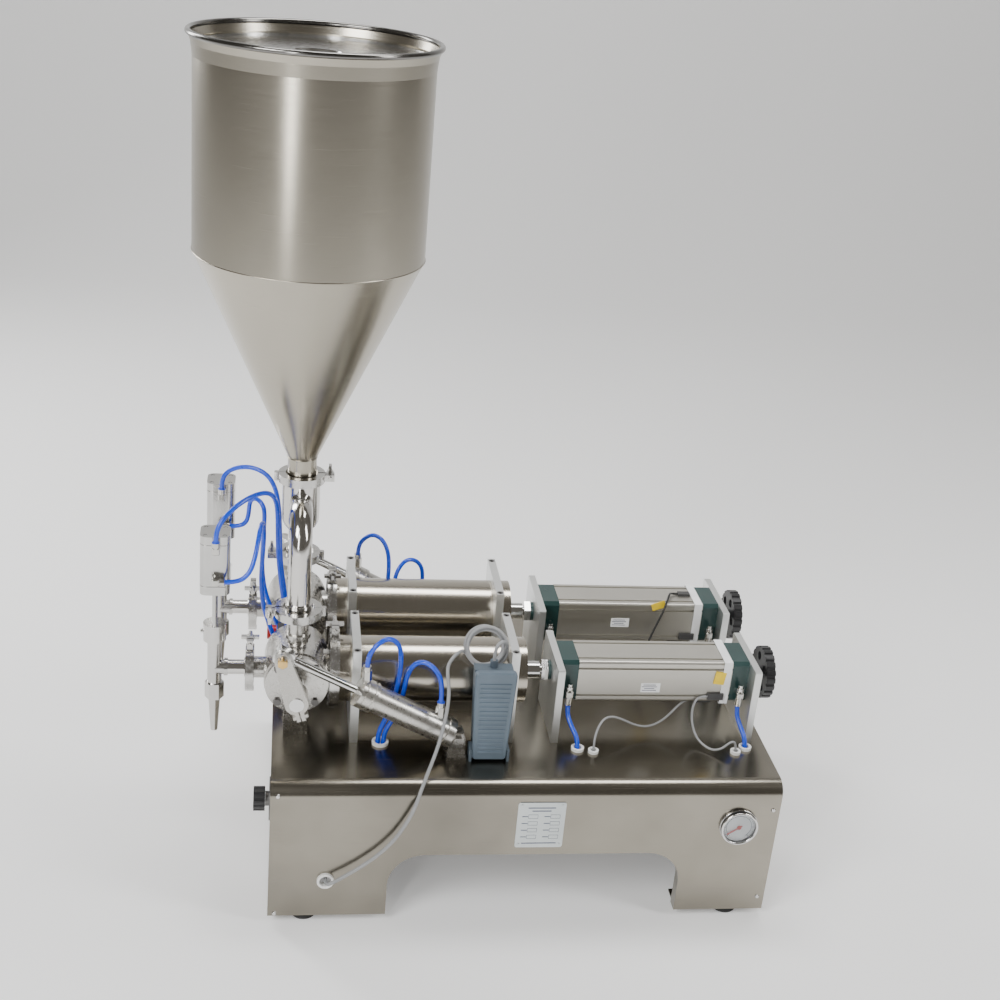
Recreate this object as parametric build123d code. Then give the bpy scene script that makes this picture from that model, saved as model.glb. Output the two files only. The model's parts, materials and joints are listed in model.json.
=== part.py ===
"""Two-head pneumatic piston filler for liquids and creams.

Row frame: X runs along the machine with the nozzles at -X and the stroke hand wheels at +X,
+Z is up, and the origin is the bottom centre of the whole machine. Head "a" is on the -Y side
and head "b" is its mirror image on the +Y side. All values are in millimetres.
"""
from build123d import *
from math import cos, pi, radians, sin, tan
import os

os.makedirs("parts", exist_ok=True)

# ---- overall -------------------------------------------------------------------------------
base_length = 850.0
base_width = 612.0
base_top_z = 270.0
nozzle_reach = 122.0           # nozzles stand this far in front of the base
rear_reach = 22.0              # hand wheels stand this far behind it
head_y = 106.0                 # each head's axis, either side of the middle
axis_z = 372.0                 # common axis of valve, material cylinder and air cylinder

# ---- sheet-metal base ----------------------------------------------------------------------
sheet = 3.0
bend_radius = 25.0
seam_flat = 10.0               # flat strip between a bend and the welded seam
foot_height = 15.0
foot_radius = 22.0
foot_stud_radius = 5.0
foot_inset = 60.0
leg_flange = 52.0
arch_front = 195.0
arch_rear = 692.0
arch_top_z = 135.0
arch_radius = 60.0
arch_flange = 18.0

# ---- material cylinders and their pistons --------------------------------------------------
tube_radius = 56.0
tube_wall = 4.0
saddle_front = 128.0           # distances from the base's front end
saddle_rear = 391.0
saddle_thickness = 14.0
saddle_width = 144.0
saddle_top_z = 443.0
saddle_split = 1.0
saddle_screw_radius = 3.0
tube_rear_end = 424.0
piston_length = 34.0
piston_rear = 386.0
rod_radius = 12.0
coupling_radius = 15.0
coupling_start = 428.0
coupling_end = 452.0
nut_radius = 20.0
nut_start = 455.0
nut_end = 466.0
stroke = 220.0

# ---- air cylinders -------------------------------------------------------------------------
air_plate_front = 472.0
air_plate_rear = 815.0
air_plate_thickness = 12.0
air_plate_top_z = 411.0
cap_length = 30.0
profile_side = 78.0
air_bore_radius = 31.5
air_rod_radius = 8.0
air_piston_length = 25.0
gland_radius = 17.0
gland_nose = 5.0
wheel_radius = 46.0
wheel_width = 16.0
wheel_gap = 20.0
wheel_screw_radius = 8.0

# ---- rotary valves -------------------------------------------------------------------------
valve_setback = 38.0
valve_radius = 54.0
valve_half_length = 46.0
rotor_radius = 34.0
cover_thickness = 12.0
cover_radius = 52.0
cover_bolt_circle = 44.0
cover_bolt_radius = 3.5
stem_radius = 12.0
port_radius = 15.0
inlet_port_radius = 22.0
neck_radius = 18.0
lip_radius = 32.0
lip_thickness = 3.0
big_lip_radius = 59.5
inlet_neck_radius = 32.0
big_clamp_x = 100.0
outlet_clamp_x = -40.0
top_clamp_z = 480.0
support_width = 40.0

# ---- valve crank and its slanting air cylinder ---------------------------------------------
crank_length = 82.6
crank_angle = 106.9            # measured from +X towards +Z
rod_slope = 27.3               # the rod drops towards +X
crank_swing = 90.0
crank_thickness = 12.0
crank_hub_radius = 19.0
crank_tip_radius = 13.0
rod_plane = 205.0              # distance of the rod's plane from the middle
rod_end_side = 26.0
rod_end_thickness = 17.4
open_pivot_gap = 0.3
valve_rod_radius = 7.5
tilt_head_start = 139.0        # distances along the rod from the crank pin
tilt_head_length = 28.0
tilt_barrel_end = 302.0
tilt_cap_length = 13.0
tilt_eye = 329.0
tilt_radius = 23.0
tilt_bore_radius = 20.0
tilt_head_radius = 26.0
tongue_thickness = 16.0
eye_radius = 12.0
eye_pin_radius = 6.0
ear_thickness = 6.0
bracket_foot_thickness = 6.0
bracket_foot_outer = 233.0
bracket_foot_inner = 168.0
bracket_foot_front = 20.0
bracket_foot_rear = 14.0

# ---- nozzles -------------------------------------------------------------------------------
nozzle_cylinder_side = 48.0
nozzle_cylinder_bottom_z = 518.0
nozzle_cylinder_top_z = 622.0
nozzle_bore_radius = 18.0
nozzle_tube_radius = 12.0
nozzle_bore = 9.0
collar_radius = 19.0
collar_bottom_z = 425.0
collar_top_z = 456.0
nut_top_z = 344.0
nut_bottom_z = 315.0
tip_z = 250.0
tip_bore = 4.6
tee_reach = 22.0
plunger_radius = 4.0
plunger_travel = 25.0
outlet_pipe_radius = 12.5
pipe_wall = 1.5

# ---- hopper and manifold -------------------------------------------------------------------
hopper_radius = 181.0
hopper_rim_z = 1385.0
hopper_joint_z = 1059.0
hopper_neck_z = 713.0
hopper_neck_radius = 24.0
hopper_wall = 2.0
hopper_flare = 7.0
hopper_flare_height = 38.0
rim_bead = 4.0
hopper_clamp_z = 677.0
lid_drop = 26.0
lid_thickness = 2.0
lid_gap = 2.0
manifold_pipe_z = 640.0
manifold_body_radius = 31.5
manifold_cross_radius = 24.0
manifold_leg_radius = 19.0
elbow_radius = 56.0

# ---- fits ----------------------------------------------------------------------------------
running = 0.05
seat = 0.1
loose = 0.3

# ---- panel fittings ------------------------------------------------------------------------
grommet_height = 5.0
grommet_lip = 2.0
grommet_wall = 2.0
side_grommet_radius = 14.0
tube_diameter = 8.0
lead_diameter = 4.0
pedal_lead_diameter = 6.0

front_reach = max(nozzle_reach, hopper_radius + hopper_flare - 1 + rim_bead - valve_setback)
base_front = -(base_length + rear_reach - front_reach) / 2
base_rear = base_front + base_length
near_face = -base_width / 2
valve_x = base_front + valve_setback
nozzle_x = base_front - nozzle_reach + nozzle_cylinder_side / 2
tube_bore = tube_radius - tube_wall
HEADS = (("a", -1.0), ("b", 1.0))


def export(node, shape):
    """Write one node's solids to its own STEP file."""
    export_step(shape, f"parts/{node}.step")


def group(solids):
    """Collect separate solids into one compound."""
    return Compound(children=[part for shape in solids for part in shape.solids()])


def along_x(radius, x0, x1, y, z):
    return Pos((x0 + x1) / 2, y, z) * Rot(0, 90, 0) * Cylinder(radius, abs(x1 - x0))


def along_y(radius, y0, y1, x, z):
    return Pos(x, (y0 + y1) / 2, z) * Rot(90, 0, 0) * Cylinder(radius, abs(y1 - y0))


def along_z(radius, z0, z1, x, y):
    return Pos(x, y, (z0 + z1) / 2) * Cylinder(radius, abs(z1 - z0))


def block(x0, x1, y0, y1, z0, z1):
    return Pos((x0 + x1) / 2, (y0 + y1) / 2, (z0 + z1) / 2) * Box(abs(x1 - x0), abs(y1 - y0), abs(z1 - z0))


def hexagon(radius, length):
    """A hexagonal prism centred at the origin, along Z."""
    return extrude(RegularPolygon(radius, 6), length / 2, both=True)


def turned(profile, x, y):
    """Revolve an (r, z) outline about the vertical line through x, y."""
    face = make_face(Polyline(*[(r, 0, z) for r, z in profile], close=True))
    return Pos(x, y, 0) * revolve(face, Axis.Z)


def mirrored(shape, side):
    """Head a's shape as it is, or head b's mirror image of it."""
    return shape if side < 0 else mirror(shape, Plane.XZ)


def shifted(shape, side):
    """Head a's shape as it is, or the same shape moved over to head b."""
    return shape if side < 0 else Pos(0, 2 * head_y, 0) * shape


# ---- base ----------------------------------------------------------------------------------
# distance behind the front end, distance from the middle, radius; one on each side of the middle
GROMMETS = {
    "valve tubes": (180.0, 180.0, 14.0),
    "front air tube": (515.0, 198.0, 11.0),
    "switch lead": (541.0, 206.0, 9.0),
    "rear lead": (791.0, 208.0, 9.0),
    "rear air tube": (812.0, 194.0, 11.0),
    "nozzle tubes": (25.0, 30.0, 14.0),
}
SIDE_GROMMET = (base_front + 93.0, 87.0)
BLACK_LEAD_GROMMET = (base_front + 670.0, 30.0)
GAUGE = (base_front + 782.0, 189.0)
gauge_radius = 32.0
gauge_depth = 8.0
gauge_body_radius = 28.0
inlet_radius = 8.0
inlet_bore = 6.05
inlet_depth = 20.0
CONTROL_Y = -268.0
CONTROL_Z = 222.0


def grommet_places():
    """Centre and radius of every grommet in the top sheet."""
    places = [(base_front + x, side * y, radius) for x, y, radius in GROMMETS.values() for side in (-1, 1)]
    return places + [(*BLACK_LEAD_GROMMET, 9.0)]


def base_cover():
    """Welded cover: top, two bent edges, two arched sides with their flanges, and two ends."""
    half = base_width / 2
    seam_y = half - bend_radius - seam_flat
    seam_z = base_top_z - bend_radius - seam_flat
    outer = block(base_front, base_rear, -half, half, 0, base_top_z)
    outer = fillet(outer.edges().filter_by(Axis.X).group_by(Axis.Z)[-1], bend_radius)
    inner = block(base_front - 5, base_rear + 5, sheet - half, half - sheet, -5, base_top_z - sheet)
    inner = fillet(inner.edges().filter_by(Axis.X).group_by(Axis.Z)[-1], bend_radius - sheet)
    bent = outer - inner
    top = bent & block(base_front, base_rear, -seam_y, seam_y, seam_z, base_top_z)
    for x, y, radius in grommet_places():
        top -= along_z(radius - grommet_lip, base_top_z - 10, base_top_z + 1, x, y)
    panels = [top]
    for x0 in (base_front, base_rear - sheet):
        end = inner & block(x0, x0 + sheet, -half, half, foot_height, base_top_z)
        panels.append(end - along_x(10.0, base_front - 1, base_front + 10, CONTROL_Y, CONTROL_Z))
    for side in (-1, 1):
        panels.append(bent & block(base_front, base_rear, side * seam_y, side * half, seam_z, base_top_z))
        panels += side_panels(side, seam_z)
    return group(panels)


def side_panels(side, seam_z):
    """One long side: its arched sheet, the arch's inner lip and the two bottom flanges."""
    face = side * base_width / 2
    inside = face - side * sheet
    x0, x1 = base_front + arch_front, base_front + arch_rear
    arch = block(x0, x1, -base_width, base_width, foot_height - 40, arch_top_z)
    arch = fillet(arch.edges().filter_by(Axis.Y).group_by(Axis.Z)[-1], arch_radius)
    lip = block(x0 - sheet, x1 + sheet, inside, inside - side * arch_flange, foot_height, arch_top_z + sheet)
    lip = fillet(lip.edges().filter_by(Axis.Y).group_by(Axis.Z)[-1], arch_radius + sheet) - arch
    panel = block(base_front, base_rear, face, inside, foot_height, seam_z) - arch
    if side < 0:
        panel -= along_y(side_grommet_radius - grommet_lip, near_face - 1, near_face + 10, *SIDE_GROMMET)
        panel -= along_y(gauge_body_radius + seat, near_face - 1, near_face + 10, *GAUGE)
    else:
        panel -= along_y(inlet_radius + seat, -near_face - 10, -near_face + 1, *GAUGE)
    pieces = [panel, lip]
    for start, end in ((base_front + sheet, x0 - sheet), (x1 + sheet, base_rear - sheet)):
        flange = block(start, end, inside, face - side * leg_flange, foot_height, foot_height + sheet)
        for x, y in foot_places():
            flange -= along_z(foot_stud_radius + seat, foot_height - 1, foot_height + sheet + 1, x, y)
        pieces.append(flange)
    return pieces


def foot_places():
    inset_y = base_width / 2 - leg_flange / 2 - 2
    return [(x, y) for x in (base_front + foot_inset, base_rear - foot_inset)
            for y in (-inset_y, inset_y)]


def foot(x, y):
    pad = turned([(0, 0), (foot_radius - 2, 0), (foot_radius, 3), (foot_radius - 4, foot_height),
                  (0, foot_height)], x, y)
    stud = along_z(foot_stud_radius, foot_height, foot_height + sheet + 14, x, y)
    nut = Pos(x, y, foot_height + sheet + 4) * hexagon(9, 8)
    return pad + stud + (nut - along_z(foot_stud_radius, 0, 60, x, y))


def ring_grommet(x, y, z, radius):
    ring = along_z(radius, z, z + grommet_height, x, y)
    neck = along_z(radius - grommet_lip - seat, z - sheet - 3, z, x, y)
    return ring + neck - along_z(radius - grommet_lip - grommet_wall, z - 20, z + 20, x, y)


def grommets():
    rings = [ring_grommet(x, y, base_top_z, radius) for x, y, radius in grommet_places()]
    turned_ring = Pos(SIDE_GROMMET[0], near_face, SIDE_GROMMET[1]) * Rot(90, 0, 0)
    rings.append(turned_ring * ring_grommet(0, 0, 0, side_grommet_radius))
    return group(rings)


NAMEPLATE = (base_front + 402.0, base_front + 482.0, 150.0, 239.0)


def nameplate():
    x0, x1, z0, z1 = NAMEPLATE
    plate = block(x0, x1, near_face - 1.2, near_face, z0, z1)
    plate = fillet(plate.edges().filter_by(Axis.Y), 4)
    rivets = [along_y(2.2, near_face - 2.2, near_face - 1.2, x, z)
              for x in (x0 + 6, x1 - 6) for z in (z0 + 6, z1 - 6)]
    return group([plate] + rivets)


def gauge_case():
    x, z = GAUGE
    bezel = along_y(gauge_radius, near_face - gauge_depth, near_face, x, z)
    bezel -= along_y(gauge_radius - 4, near_face - gauge_depth - 1, near_face - 2, x, z)
    body = along_y(gauge_body_radius, near_face, near_face + 28, x, z)
    stem = along_y(7, near_face + 28, near_face + 46, x, z)
    return bezel + body + stem


def gauge_needle():
    x, z = GAUGE
    level = near_face - gauge_depth / 2 - 0.5
    hub = along_y(3.5, level - 1, level + 1, x, z)
    hand = Pos(x, level, z) * Rot(0, -35, 0) * Pos(-9, 0, 0) * Box(30, 0.8, 2.2)
    return hub + hand


def control_body():
    """Regulator on the front end, shut-off valve between the heads, air inlet on the far side."""
    plate = block(base_front - 2, base_front, CONTROL_Y - 24, CONTROL_Y + 24, CONTROL_Z - 26, CONTROL_Z + 26)
    neck = along_x(12, base_front - 8, base_front - 2, CONTROL_Y, CONTROL_Z)
    behind = block(base_front + sheet, base_front + 45, CONTROL_Y - 20, CONTROL_Y + 20,
                   CONTROL_Z - 22, CONTROL_Z + 22)
    regulator = plate + neck + behind + along_x(9.8, base_front - 1, base_front + 10, CONTROL_Y, CONTROL_Z)
    x, z = GAUGE
    inlet = Pos(x, -near_face + gauge_depth / 2, z) * Rot(90, 0, 0) * hexagon(12, gauge_depth)
    inlet += along_y(inlet_radius, -near_face - sheet - inlet_depth, -near_face + 1, x, z)
    inlet -= along_y(inlet_bore, 0, -near_face + gauge_depth + 1, x, z)
    x, y, z = SHUTOFF
    post = along_z(7, base_top_z, z - 12, x, y) + along_z(12, base_top_z, base_top_z + 4, x, y)
    shell = block(x - 12, x + 12, y - 11, y + 11, z - 12, z + 12)
    return group([regulator, post + shell, inlet])


SHUTOFF = (base_front + 17.0, 0.0, 380.0)


def fluted(radius, x0, x1, y, z, flutes, depth):
    """A knob along X with shallow flutes round its rim."""
    knob = along_x(radius, x0, x1, y, z)
    for i in range(flutes):
        turn = 2 * pi * i / flutes
        knob -= along_x(depth, x0 - 1, x1 + 1, y + radius * cos(turn), z + radius * sin(turn))
    return knob


def regulator_knob():
    return fluted(20, base_front - 27, base_front - 8.3, CONTROL_Y, CONTROL_Z, 12, 1.8)


def shutoff_knob():
    x, y, z = SHUTOFF
    return fluted(12, x - 30, x - 14, y, z, 8, 1.8) + along_x(4, x - 14, x - 12.2, y, z)


# ---- material cylinders --------------------------------------------------------------------
def material_cylinder():
    y = -head_y
    lip_x = base_front + big_clamp_x
    shoulder_x = lip_x + lip_thickness
    shell = along_x(big_lip_radius, lip_x, shoulder_x, y, axis_z)
    shell += along_x(tube_radius - 5, shoulder_x, shoulder_x + 6, y, axis_z)
    shell += along_x(tube_radius, shoulder_x + 5, base_front + tube_rear_end, y, axis_z)
    shell -= along_x(tube_bore, shoulder_x + 10, base_front + tube_rear_end + 1, y, axis_z)
    return shell - along_x(inlet_port_radius + 6, lip_x - 1, shoulder_x + 12, y, axis_z)


def saddles():
    halves = []
    for side in (-1, 1):
        y = side * head_y
        for start in (saddle_front, saddle_rear):
            x0 = base_front + start
            x1 = x0 + saddle_thickness
            y0, y1 = y - saddle_width / 2, y + saddle_width / 2
            bore = along_x(tube_radius + seat, x0 - 1, x1 + 1, y, axis_z)
            lower = block(x0, x1, y0, y1, base_top_z, axis_z - saddle_split / 2) - bore
            upper = block(x0, x1, y0, y1, axis_z + saddle_split / 2, saddle_top_z) - bore
            for sx, sy in saddle_screws(x0, y):
                lower -= along_z(saddle_screw_radius + seat, axis_z - 50, axis_z + 1, sx, sy)
                upper -= along_z(saddle_screw_radius + seat, axis_z - 1, saddle_top_z + 1, sx, sy)
                upper -= along_z(saddle_screw_radius + 2.6, saddle_top_z - 7, saddle_top_z + 1, sx, sy)
            halves += [lower, upper]
    return group(halves)


def saddle_screws(x0, y):
    offset = (saddle_width / 2 + tube_radius) / 2
    return [(x0 + saddle_thickness / 2, y + s * offset) for s in (-1, 1)]


def machine_screws():
    """Saddle cap screws and the valve covers' hexagon bolts."""
    screws = []
    for side in (-1, 1):
        for start in (saddle_front, saddle_rear):
            for x, y in saddle_screws(base_front + start, side * head_y):
                head = along_z(saddle_screw_radius + 2, saddle_top_z - 7, saddle_top_z - 1, x, y)
                head -= Pos(x, y, saddle_top_z - 2) * hexagon(2.8, 4)
                screws.append(head + along_z(saddle_screw_radius, axis_z - 45, saddle_top_z - 6, x, y))
        for cover in (-1, 1):
            face = side * head_y + cover * (valve_half_length + cover_thickness)
            for x, z in cover_bolts():
                head = Pos(x, face + cover * 2.5, z) * Rot(90, 0, 0) * hexagon(6.5, 5)
                screws.append(head + along_y(cover_bolt_radius, face, face - cover * 24, x, z))
    return group(screws)


def piston():
    """Sealed piston head and its rod, two separate solids."""
    return group([piston_head(), piston_rod()])


def piston_head():
    x1 = base_front + piston_rear
    x0 = x1 - piston_length
    head = along_x(tube_bore - 2.0, x0, x1, -head_y, axis_z)
    for ring_x in (x0 + 6, x0 + piston_length / 2, x1 - 6):
        head += along_x(tube_bore - running, ring_x - 3, ring_x + 3, -head_y, axis_z)
    return head - along_x(rod_radius, x1 - 14, x1 + 1, -head_y, axis_z)


def piston_rod():
    y, z = -head_y, axis_z
    rod = along_x(rod_radius, base_front + piston_rear - 14, base_front + coupling_start, y, z)
    rod += along_x(coupling_radius, base_front + coupling_start, base_front + coupling_end, y, z)
    air_end = base_front + air_plate_rear - cap_length - 4
    rod += along_x(air_rod_radius, base_front + coupling_end - 1, air_end, y, z)
    rod += along_x(air_bore_radius - running, air_end - air_piston_length, air_end, y, z)
    nut_middle = base_front + (nut_start + nut_end) / 2
    return rod + Pos(nut_middle, y, z) * Rot(0, 90, 0) * hexagon(nut_radius, nut_end - nut_start)


# ---- air cylinders -------------------------------------------------------------------------
def air_plates():
    plates = []
    for side in (-1, 1):
        y = side * head_y
        for start, hole in ((air_plate_front, gland_radius + seat), (air_plate_rear, wheel_screw_radius + loose)):
            x0 = base_front + start
            x1 = x0 + air_plate_thickness
            plate = block(x0, x1, y - saddle_width / 2, y + saddle_width / 2, base_top_z, air_plate_top_z)
            plate = chamfer(plate.edges().filter_by(Axis.X).group_by(Axis.Z)[-1], 2.0)
            plates.append(plate - along_x(hole, x0 - 1, x1 + 1, y, axis_z))
    return group(plates)


def end_cap(x0):
    half = profile_side / 2
    cap = block(x0, x0 + cap_length, -head_y - half, -head_y + half, axis_z - half, axis_z + half)
    return chamfer(cap.edges().filter_by(Axis.X), 6.0)


def air_end_caps():
    caps = []
    front_x = base_front + air_plate_front + air_plate_thickness
    rear_x = base_front + air_plate_rear - cap_length
    for _, side in HEADS:
        front = end_cap(front_x)
        front += along_x(gland_radius, front_x - air_plate_thickness - gland_nose, front_x, -head_y, axis_z)
        front -= along_x(air_rod_radius + running, front_x - 40, front_x + cap_length + 1, -head_y, axis_z)
        rear = end_cap(rear_x)
        rear -= along_x(wheel_screw_radius + running, rear_x - 1, rear_x + cap_length + 1, -head_y, axis_z)
        caps += [mirrored(front, side), mirrored(rear, side)]
    return group(caps)


def air_barrel():
    x0 = base_front + air_plate_front + air_plate_thickness + cap_length
    x1 = base_front + air_plate_rear - cap_length
    half = profile_side / 2
    barrel = block(x0, x1, -head_y - half, -head_y + half, axis_z - half, axis_z + half)
    barrel = fillet(barrel.edges().filter_by(Axis.X), 5.0)
    barrel -= along_x(air_bore_radius, x0 - 1, x1 + 1, -head_y, axis_z)
    for turn in range(4):
        for shift in (-half + 13, half - 13):
            slot = Pos(0, half - 1, shift) * Box(x1 - x0 + 2, 5, 4.5)
            barrel -= Pos((x0 + x1) / 2, -head_y, axis_z) * Rot(90 * turn, 0, 0) * slot
    return barrel


def hand_wheel():
    x0 = base_front + air_plate_rear + air_plate_thickness + wheel_gap
    wheel = fluted(wheel_radius, x0, x0 + wheel_width, -head_y, axis_z, 20, 3.0)
    for turn in range(5):
        angle = radians(72 * turn)
        wheel -= along_x(8.0, x0 - 1, x0 + wheel_width + 1,
                         -head_y + 29 * cos(angle), axis_z + 29 * sin(angle))
    wheel += along_x(15, x0, base_rear + rear_reach, -head_y, axis_z)
    screw_x = base_front + air_plate_rear - cap_length + 4
    return wheel + along_x(wheel_screw_radius, screw_x, x0, -head_y, axis_z)


# ---- rotary valves -------------------------------------------------------------------------
def valve_body():
    y, z, x = -head_y, axis_z, valve_x
    lip_x = base_front + big_clamp_x
    out_x = base_front + outlet_clamp_x
    body = along_y(valve_radius, y - valve_half_length, y + valve_half_length, x, z)
    body += along_x(inlet_neck_radius, x, lip_x, y, z)
    body += along_x(big_lip_radius, lip_x - lip_thickness, lip_x, y, z)
    body += along_z(neck_radius, z, top_clamp_z, x, y)
    body += along_z(lip_radius, top_clamp_z - lip_thickness, top_clamp_z, x, y)
    body += along_z(neck_radius + 4, z + valve_radius + 8, z + valve_radius + 15, x, y)
    body += along_x(neck_radius, out_x, x, y, z)
    body += along_x(lip_radius, out_x, out_x + lip_thickness, y, z)
    body -= along_x(inlet_port_radius, x, lip_x + 1, y, z)
    body -= along_z(port_radius, z, top_clamp_z + 1, x, y)
    body -= along_x(port_radius, out_x - 1, x, y, z)
    body -= along_y(rotor_radius, y - valve_half_length - 1, y + valve_half_length + 1, x, z)
    for bx, bz in cover_bolts():
        body -= along_y(cover_bolt_radius + seat, y - valve_half_length - 1, y - valve_half_length + 16, bx, bz)
        body -= along_y(cover_bolt_radius + seat, y + valve_half_length - 16, y + valve_half_length + 1, bx, bz)
    return body


def cover_bolts():
    return [(valve_x + cover_bolt_circle * cos(radians(45 + 90 * i)),
             axis_z + cover_bolt_circle * sin(radians(45 + 90 * i))) for i in range(4)]


def valve_covers():
    covers = []
    for side in (-1, 1):
        for end in (-1, 1):
            inner = side * head_y + end * valve_half_length
            outer = inner + end * cover_thickness
            cover = along_y(cover_radius, inner, outer, valve_x, axis_z)
            for x, z in cover_bolts():
                cover -= along_y(cover_bolt_radius + seat, inner, outer, x, z)
            if end == side:
                cover -= along_y(stem_radius + running, inner, outer, valve_x, axis_z)
            covers.append(cover)
    return group(covers)


def valve_rotor():
    y = -head_y
    rotor = along_y(rotor_radius - running, y - valve_half_length + loose, y + valve_half_length - loose,
                    valve_x, axis_z)
    rotor -= along_z(port_radius, axis_z - 60, axis_z + 60, valve_x, y)
    rotor -= along_x(port_radius, valve_x, valve_x + 60, y, axis_z)
    return rotor + along_y(stem_radius, -(crank_outer + 2), y - valve_half_length + 1, valve_x, axis_z)


crank_inner = rod_plane + rod_end_thickness / 2 + open_pivot_gap
crank_outer = crank_inner + crank_thickness
pin_x = valve_x + crank_length * cos(radians(crank_angle))
pin_z = axis_z + crank_length * sin(radians(crank_angle))


def crank():
    """Clamped crank with its pinch slot, pinch bolt, pin head and washer."""
    hub = Pos(valve_x, -crank_inner, axis_z) * Rot(90, 0, 0)
    tip = Pos(pin_x, -crank_inner, pin_z) * Rot(90, 0, 0)
    outline = make_hull((Pos(0, 0) * Circle(crank_hub_radius)).edges()
                        + (Pos(crank_length, 0) * Circle(crank_tip_radius)).edges())
    bar = hub * Rot(0, 0, crank_angle) * extrude(outline, crank_thickness)
    bar += along_y(crank_hub_radius, -crank_inner, -(rod_plane - 16), valve_x, axis_z)
    lug = Pos(-crank_hub_radius, 0, crank_thickness / 2) * Box(26, 15, crank_thickness)
    bar += hub * Rot(0, 0, crank_angle) * lug
    bar -= along_y(stem_radius, -crank_outer - 1, -rod_plane + 30, valve_x, axis_z)
    slot = Pos(-crank_hub_radius - 3, 0, 0) * Box(22, 2.0, 80)
    bar -= hub * Rot(0, 0, crank_angle) * slot
    pinch = hub * Rot(0, 0, crank_angle) * Pos(-crank_hub_radius - 6, 0, crank_thickness / 2) * Rot(90, 0, 0)
    bar -= pinch * Cylinder(3.1, 40)
    bolt = pinch * (Pos(0, 0, -10) * hexagon(5.5, 5) + Cylinder(3.0, 24) + Pos(0, 0, 10) * hexagon(5.5, 5))
    washer = tip * Pos(0, 0, crank_thickness) * (Pos(0, 0, 0.8) * Cylinder(11, 1.6))
    pin = tip * Pos(0, 0, crank_thickness + 4.2) * hexagon(8.5, 5.2)
    return group([bar, bolt, washer, pin])


def along_rod(shape):
    """Place a shape made along +X from the crank pin on the rod's slanting line."""
    return Pos(pin_x, -rod_plane, pin_z) * Rot(0, rod_slope, 0) * shape


def valve_rod():
    half = rod_end_side / 2
    end = block(-half, half + 4, -rod_end_thickness / 2, rod_end_thickness / 2, -half, half)
    end = fillet(end.edges().filter_by(Axis.Y), 4.0)
    end -= along_y(5.0, -30, 30, 0, 0)
    nut = Pos(half + 4.5, 0, 0) * Rot(0, 90, 0) * hexagon(rod_end_thickness / 2, 5)
    piston_x = tilt_head_start + tilt_head_length + 4
    rod = along_x(valve_rod_radius, half, piston_x + 10, 0, 0)
    rod += along_x(tilt_bore_radius - running, piston_x, piston_x + 10, 0, 0)
    return along_rod(end + nut + rod)


def valve_cylinder():
    head_end = tilt_head_start + tilt_head_length
    head = along_x(tilt_head_radius, tilt_head_start, head_end, 0, 0)
    for ring_x in (tilt_head_start + 6, tilt_head_start + 20):
        head -= along_x(tilt_head_radius + 1, ring_x, ring_x + 2, 0, 0) - along_x(
            tilt_head_radius - 1.5, ring_x - 1, ring_x + 3, 0, 0)
    tube = along_x(tilt_radius, head_end, tilt_barrel_end, 0, 0)
    cap = along_x(tilt_head_radius - 1, tilt_barrel_end, tilt_barrel_end + tilt_cap_length, 0, 0)
    tongue = block(tilt_barrel_end + tilt_cap_length - 1, tilt_eye, -tongue_thickness / 2,
                   tongue_thickness / 2, -eye_radius, eye_radius)
    tongue += along_y(eye_radius, -tongue_thickness / 2, tongue_thickness / 2, tilt_eye, 0)
    body = head + tube + cap + tongue
    body -= along_x(tilt_bore_radius, head_end, tilt_barrel_end, 0, 0)
    body -= along_x(valve_rod_radius + running, tilt_head_start - 1, head_end + 1, 0, 0)
    body -= along_y(eye_pin_radius + running, -20, 20, tilt_eye, 0)
    return along_rod(body)


def valve_mounts():
    """Blocks under the valves, and the eye brackets of the slanting cylinders."""
    pieces = []
    eye_x = pin_x + tilt_eye * cos(radians(rod_slope))
    eye_z = pin_z - tilt_eye * sin(radians(rod_slope))
    for _, side in HEADS:
        y0, y1 = -head_y - valve_half_length, -head_y + valve_half_length
        support = block(valve_x - support_width / 2, valve_x + support_width / 2, y0, y1,
                        base_top_z, axis_z - valve_radius + 12)
        support -= along_y(valve_radius + seat, y0 - 1, y1 + 1, valve_x, axis_z)
        foot_z = base_top_z + bracket_foot_thickness
        bracket = block(eye_x - bracket_foot_front, eye_x + bracket_foot_rear,
                        -bracket_foot_outer, -bracket_foot_inner, base_top_z, foot_z)
        inner = tongue_thickness / 2 + 0.5
        for ear_side in (-1, 1):
            y = -rod_plane + ear_side * (inner + ear_thickness / 2)
            outline = make_face(Polyline((eye_x - 18, foot_z - 1), (eye_x + 13, foot_z - 1),
                                         (eye_x + 12, eye_z + 4), (eye_x + 8, eye_z + 13),
                                         (eye_x - 8, eye_z + 13), (eye_x - 13, eye_z + 4), close=True))
            ear = Pos(0, y, 0) * Rot(90, 0, 0) * extrude(outline, ear_thickness / 2, both=True)
            bracket += ear
        bracket -= along_y(eye_pin_radius, -rod_plane - 30, -rod_plane + 30, eye_x, eye_z)
        reach = inner + ear_thickness
        pin = along_y(eye_pin_radius, -rod_plane - reach, -rod_plane + reach + 6, eye_x, eye_z)
        pin += Pos(eye_x, -rod_plane - reach - 3.5, eye_z) * Rot(90, 0, 0) * hexagon(10, 7)
        pieces += [mirrored(shape, side) for shape in (support, bracket, pin)]
    return group(pieces)


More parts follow.
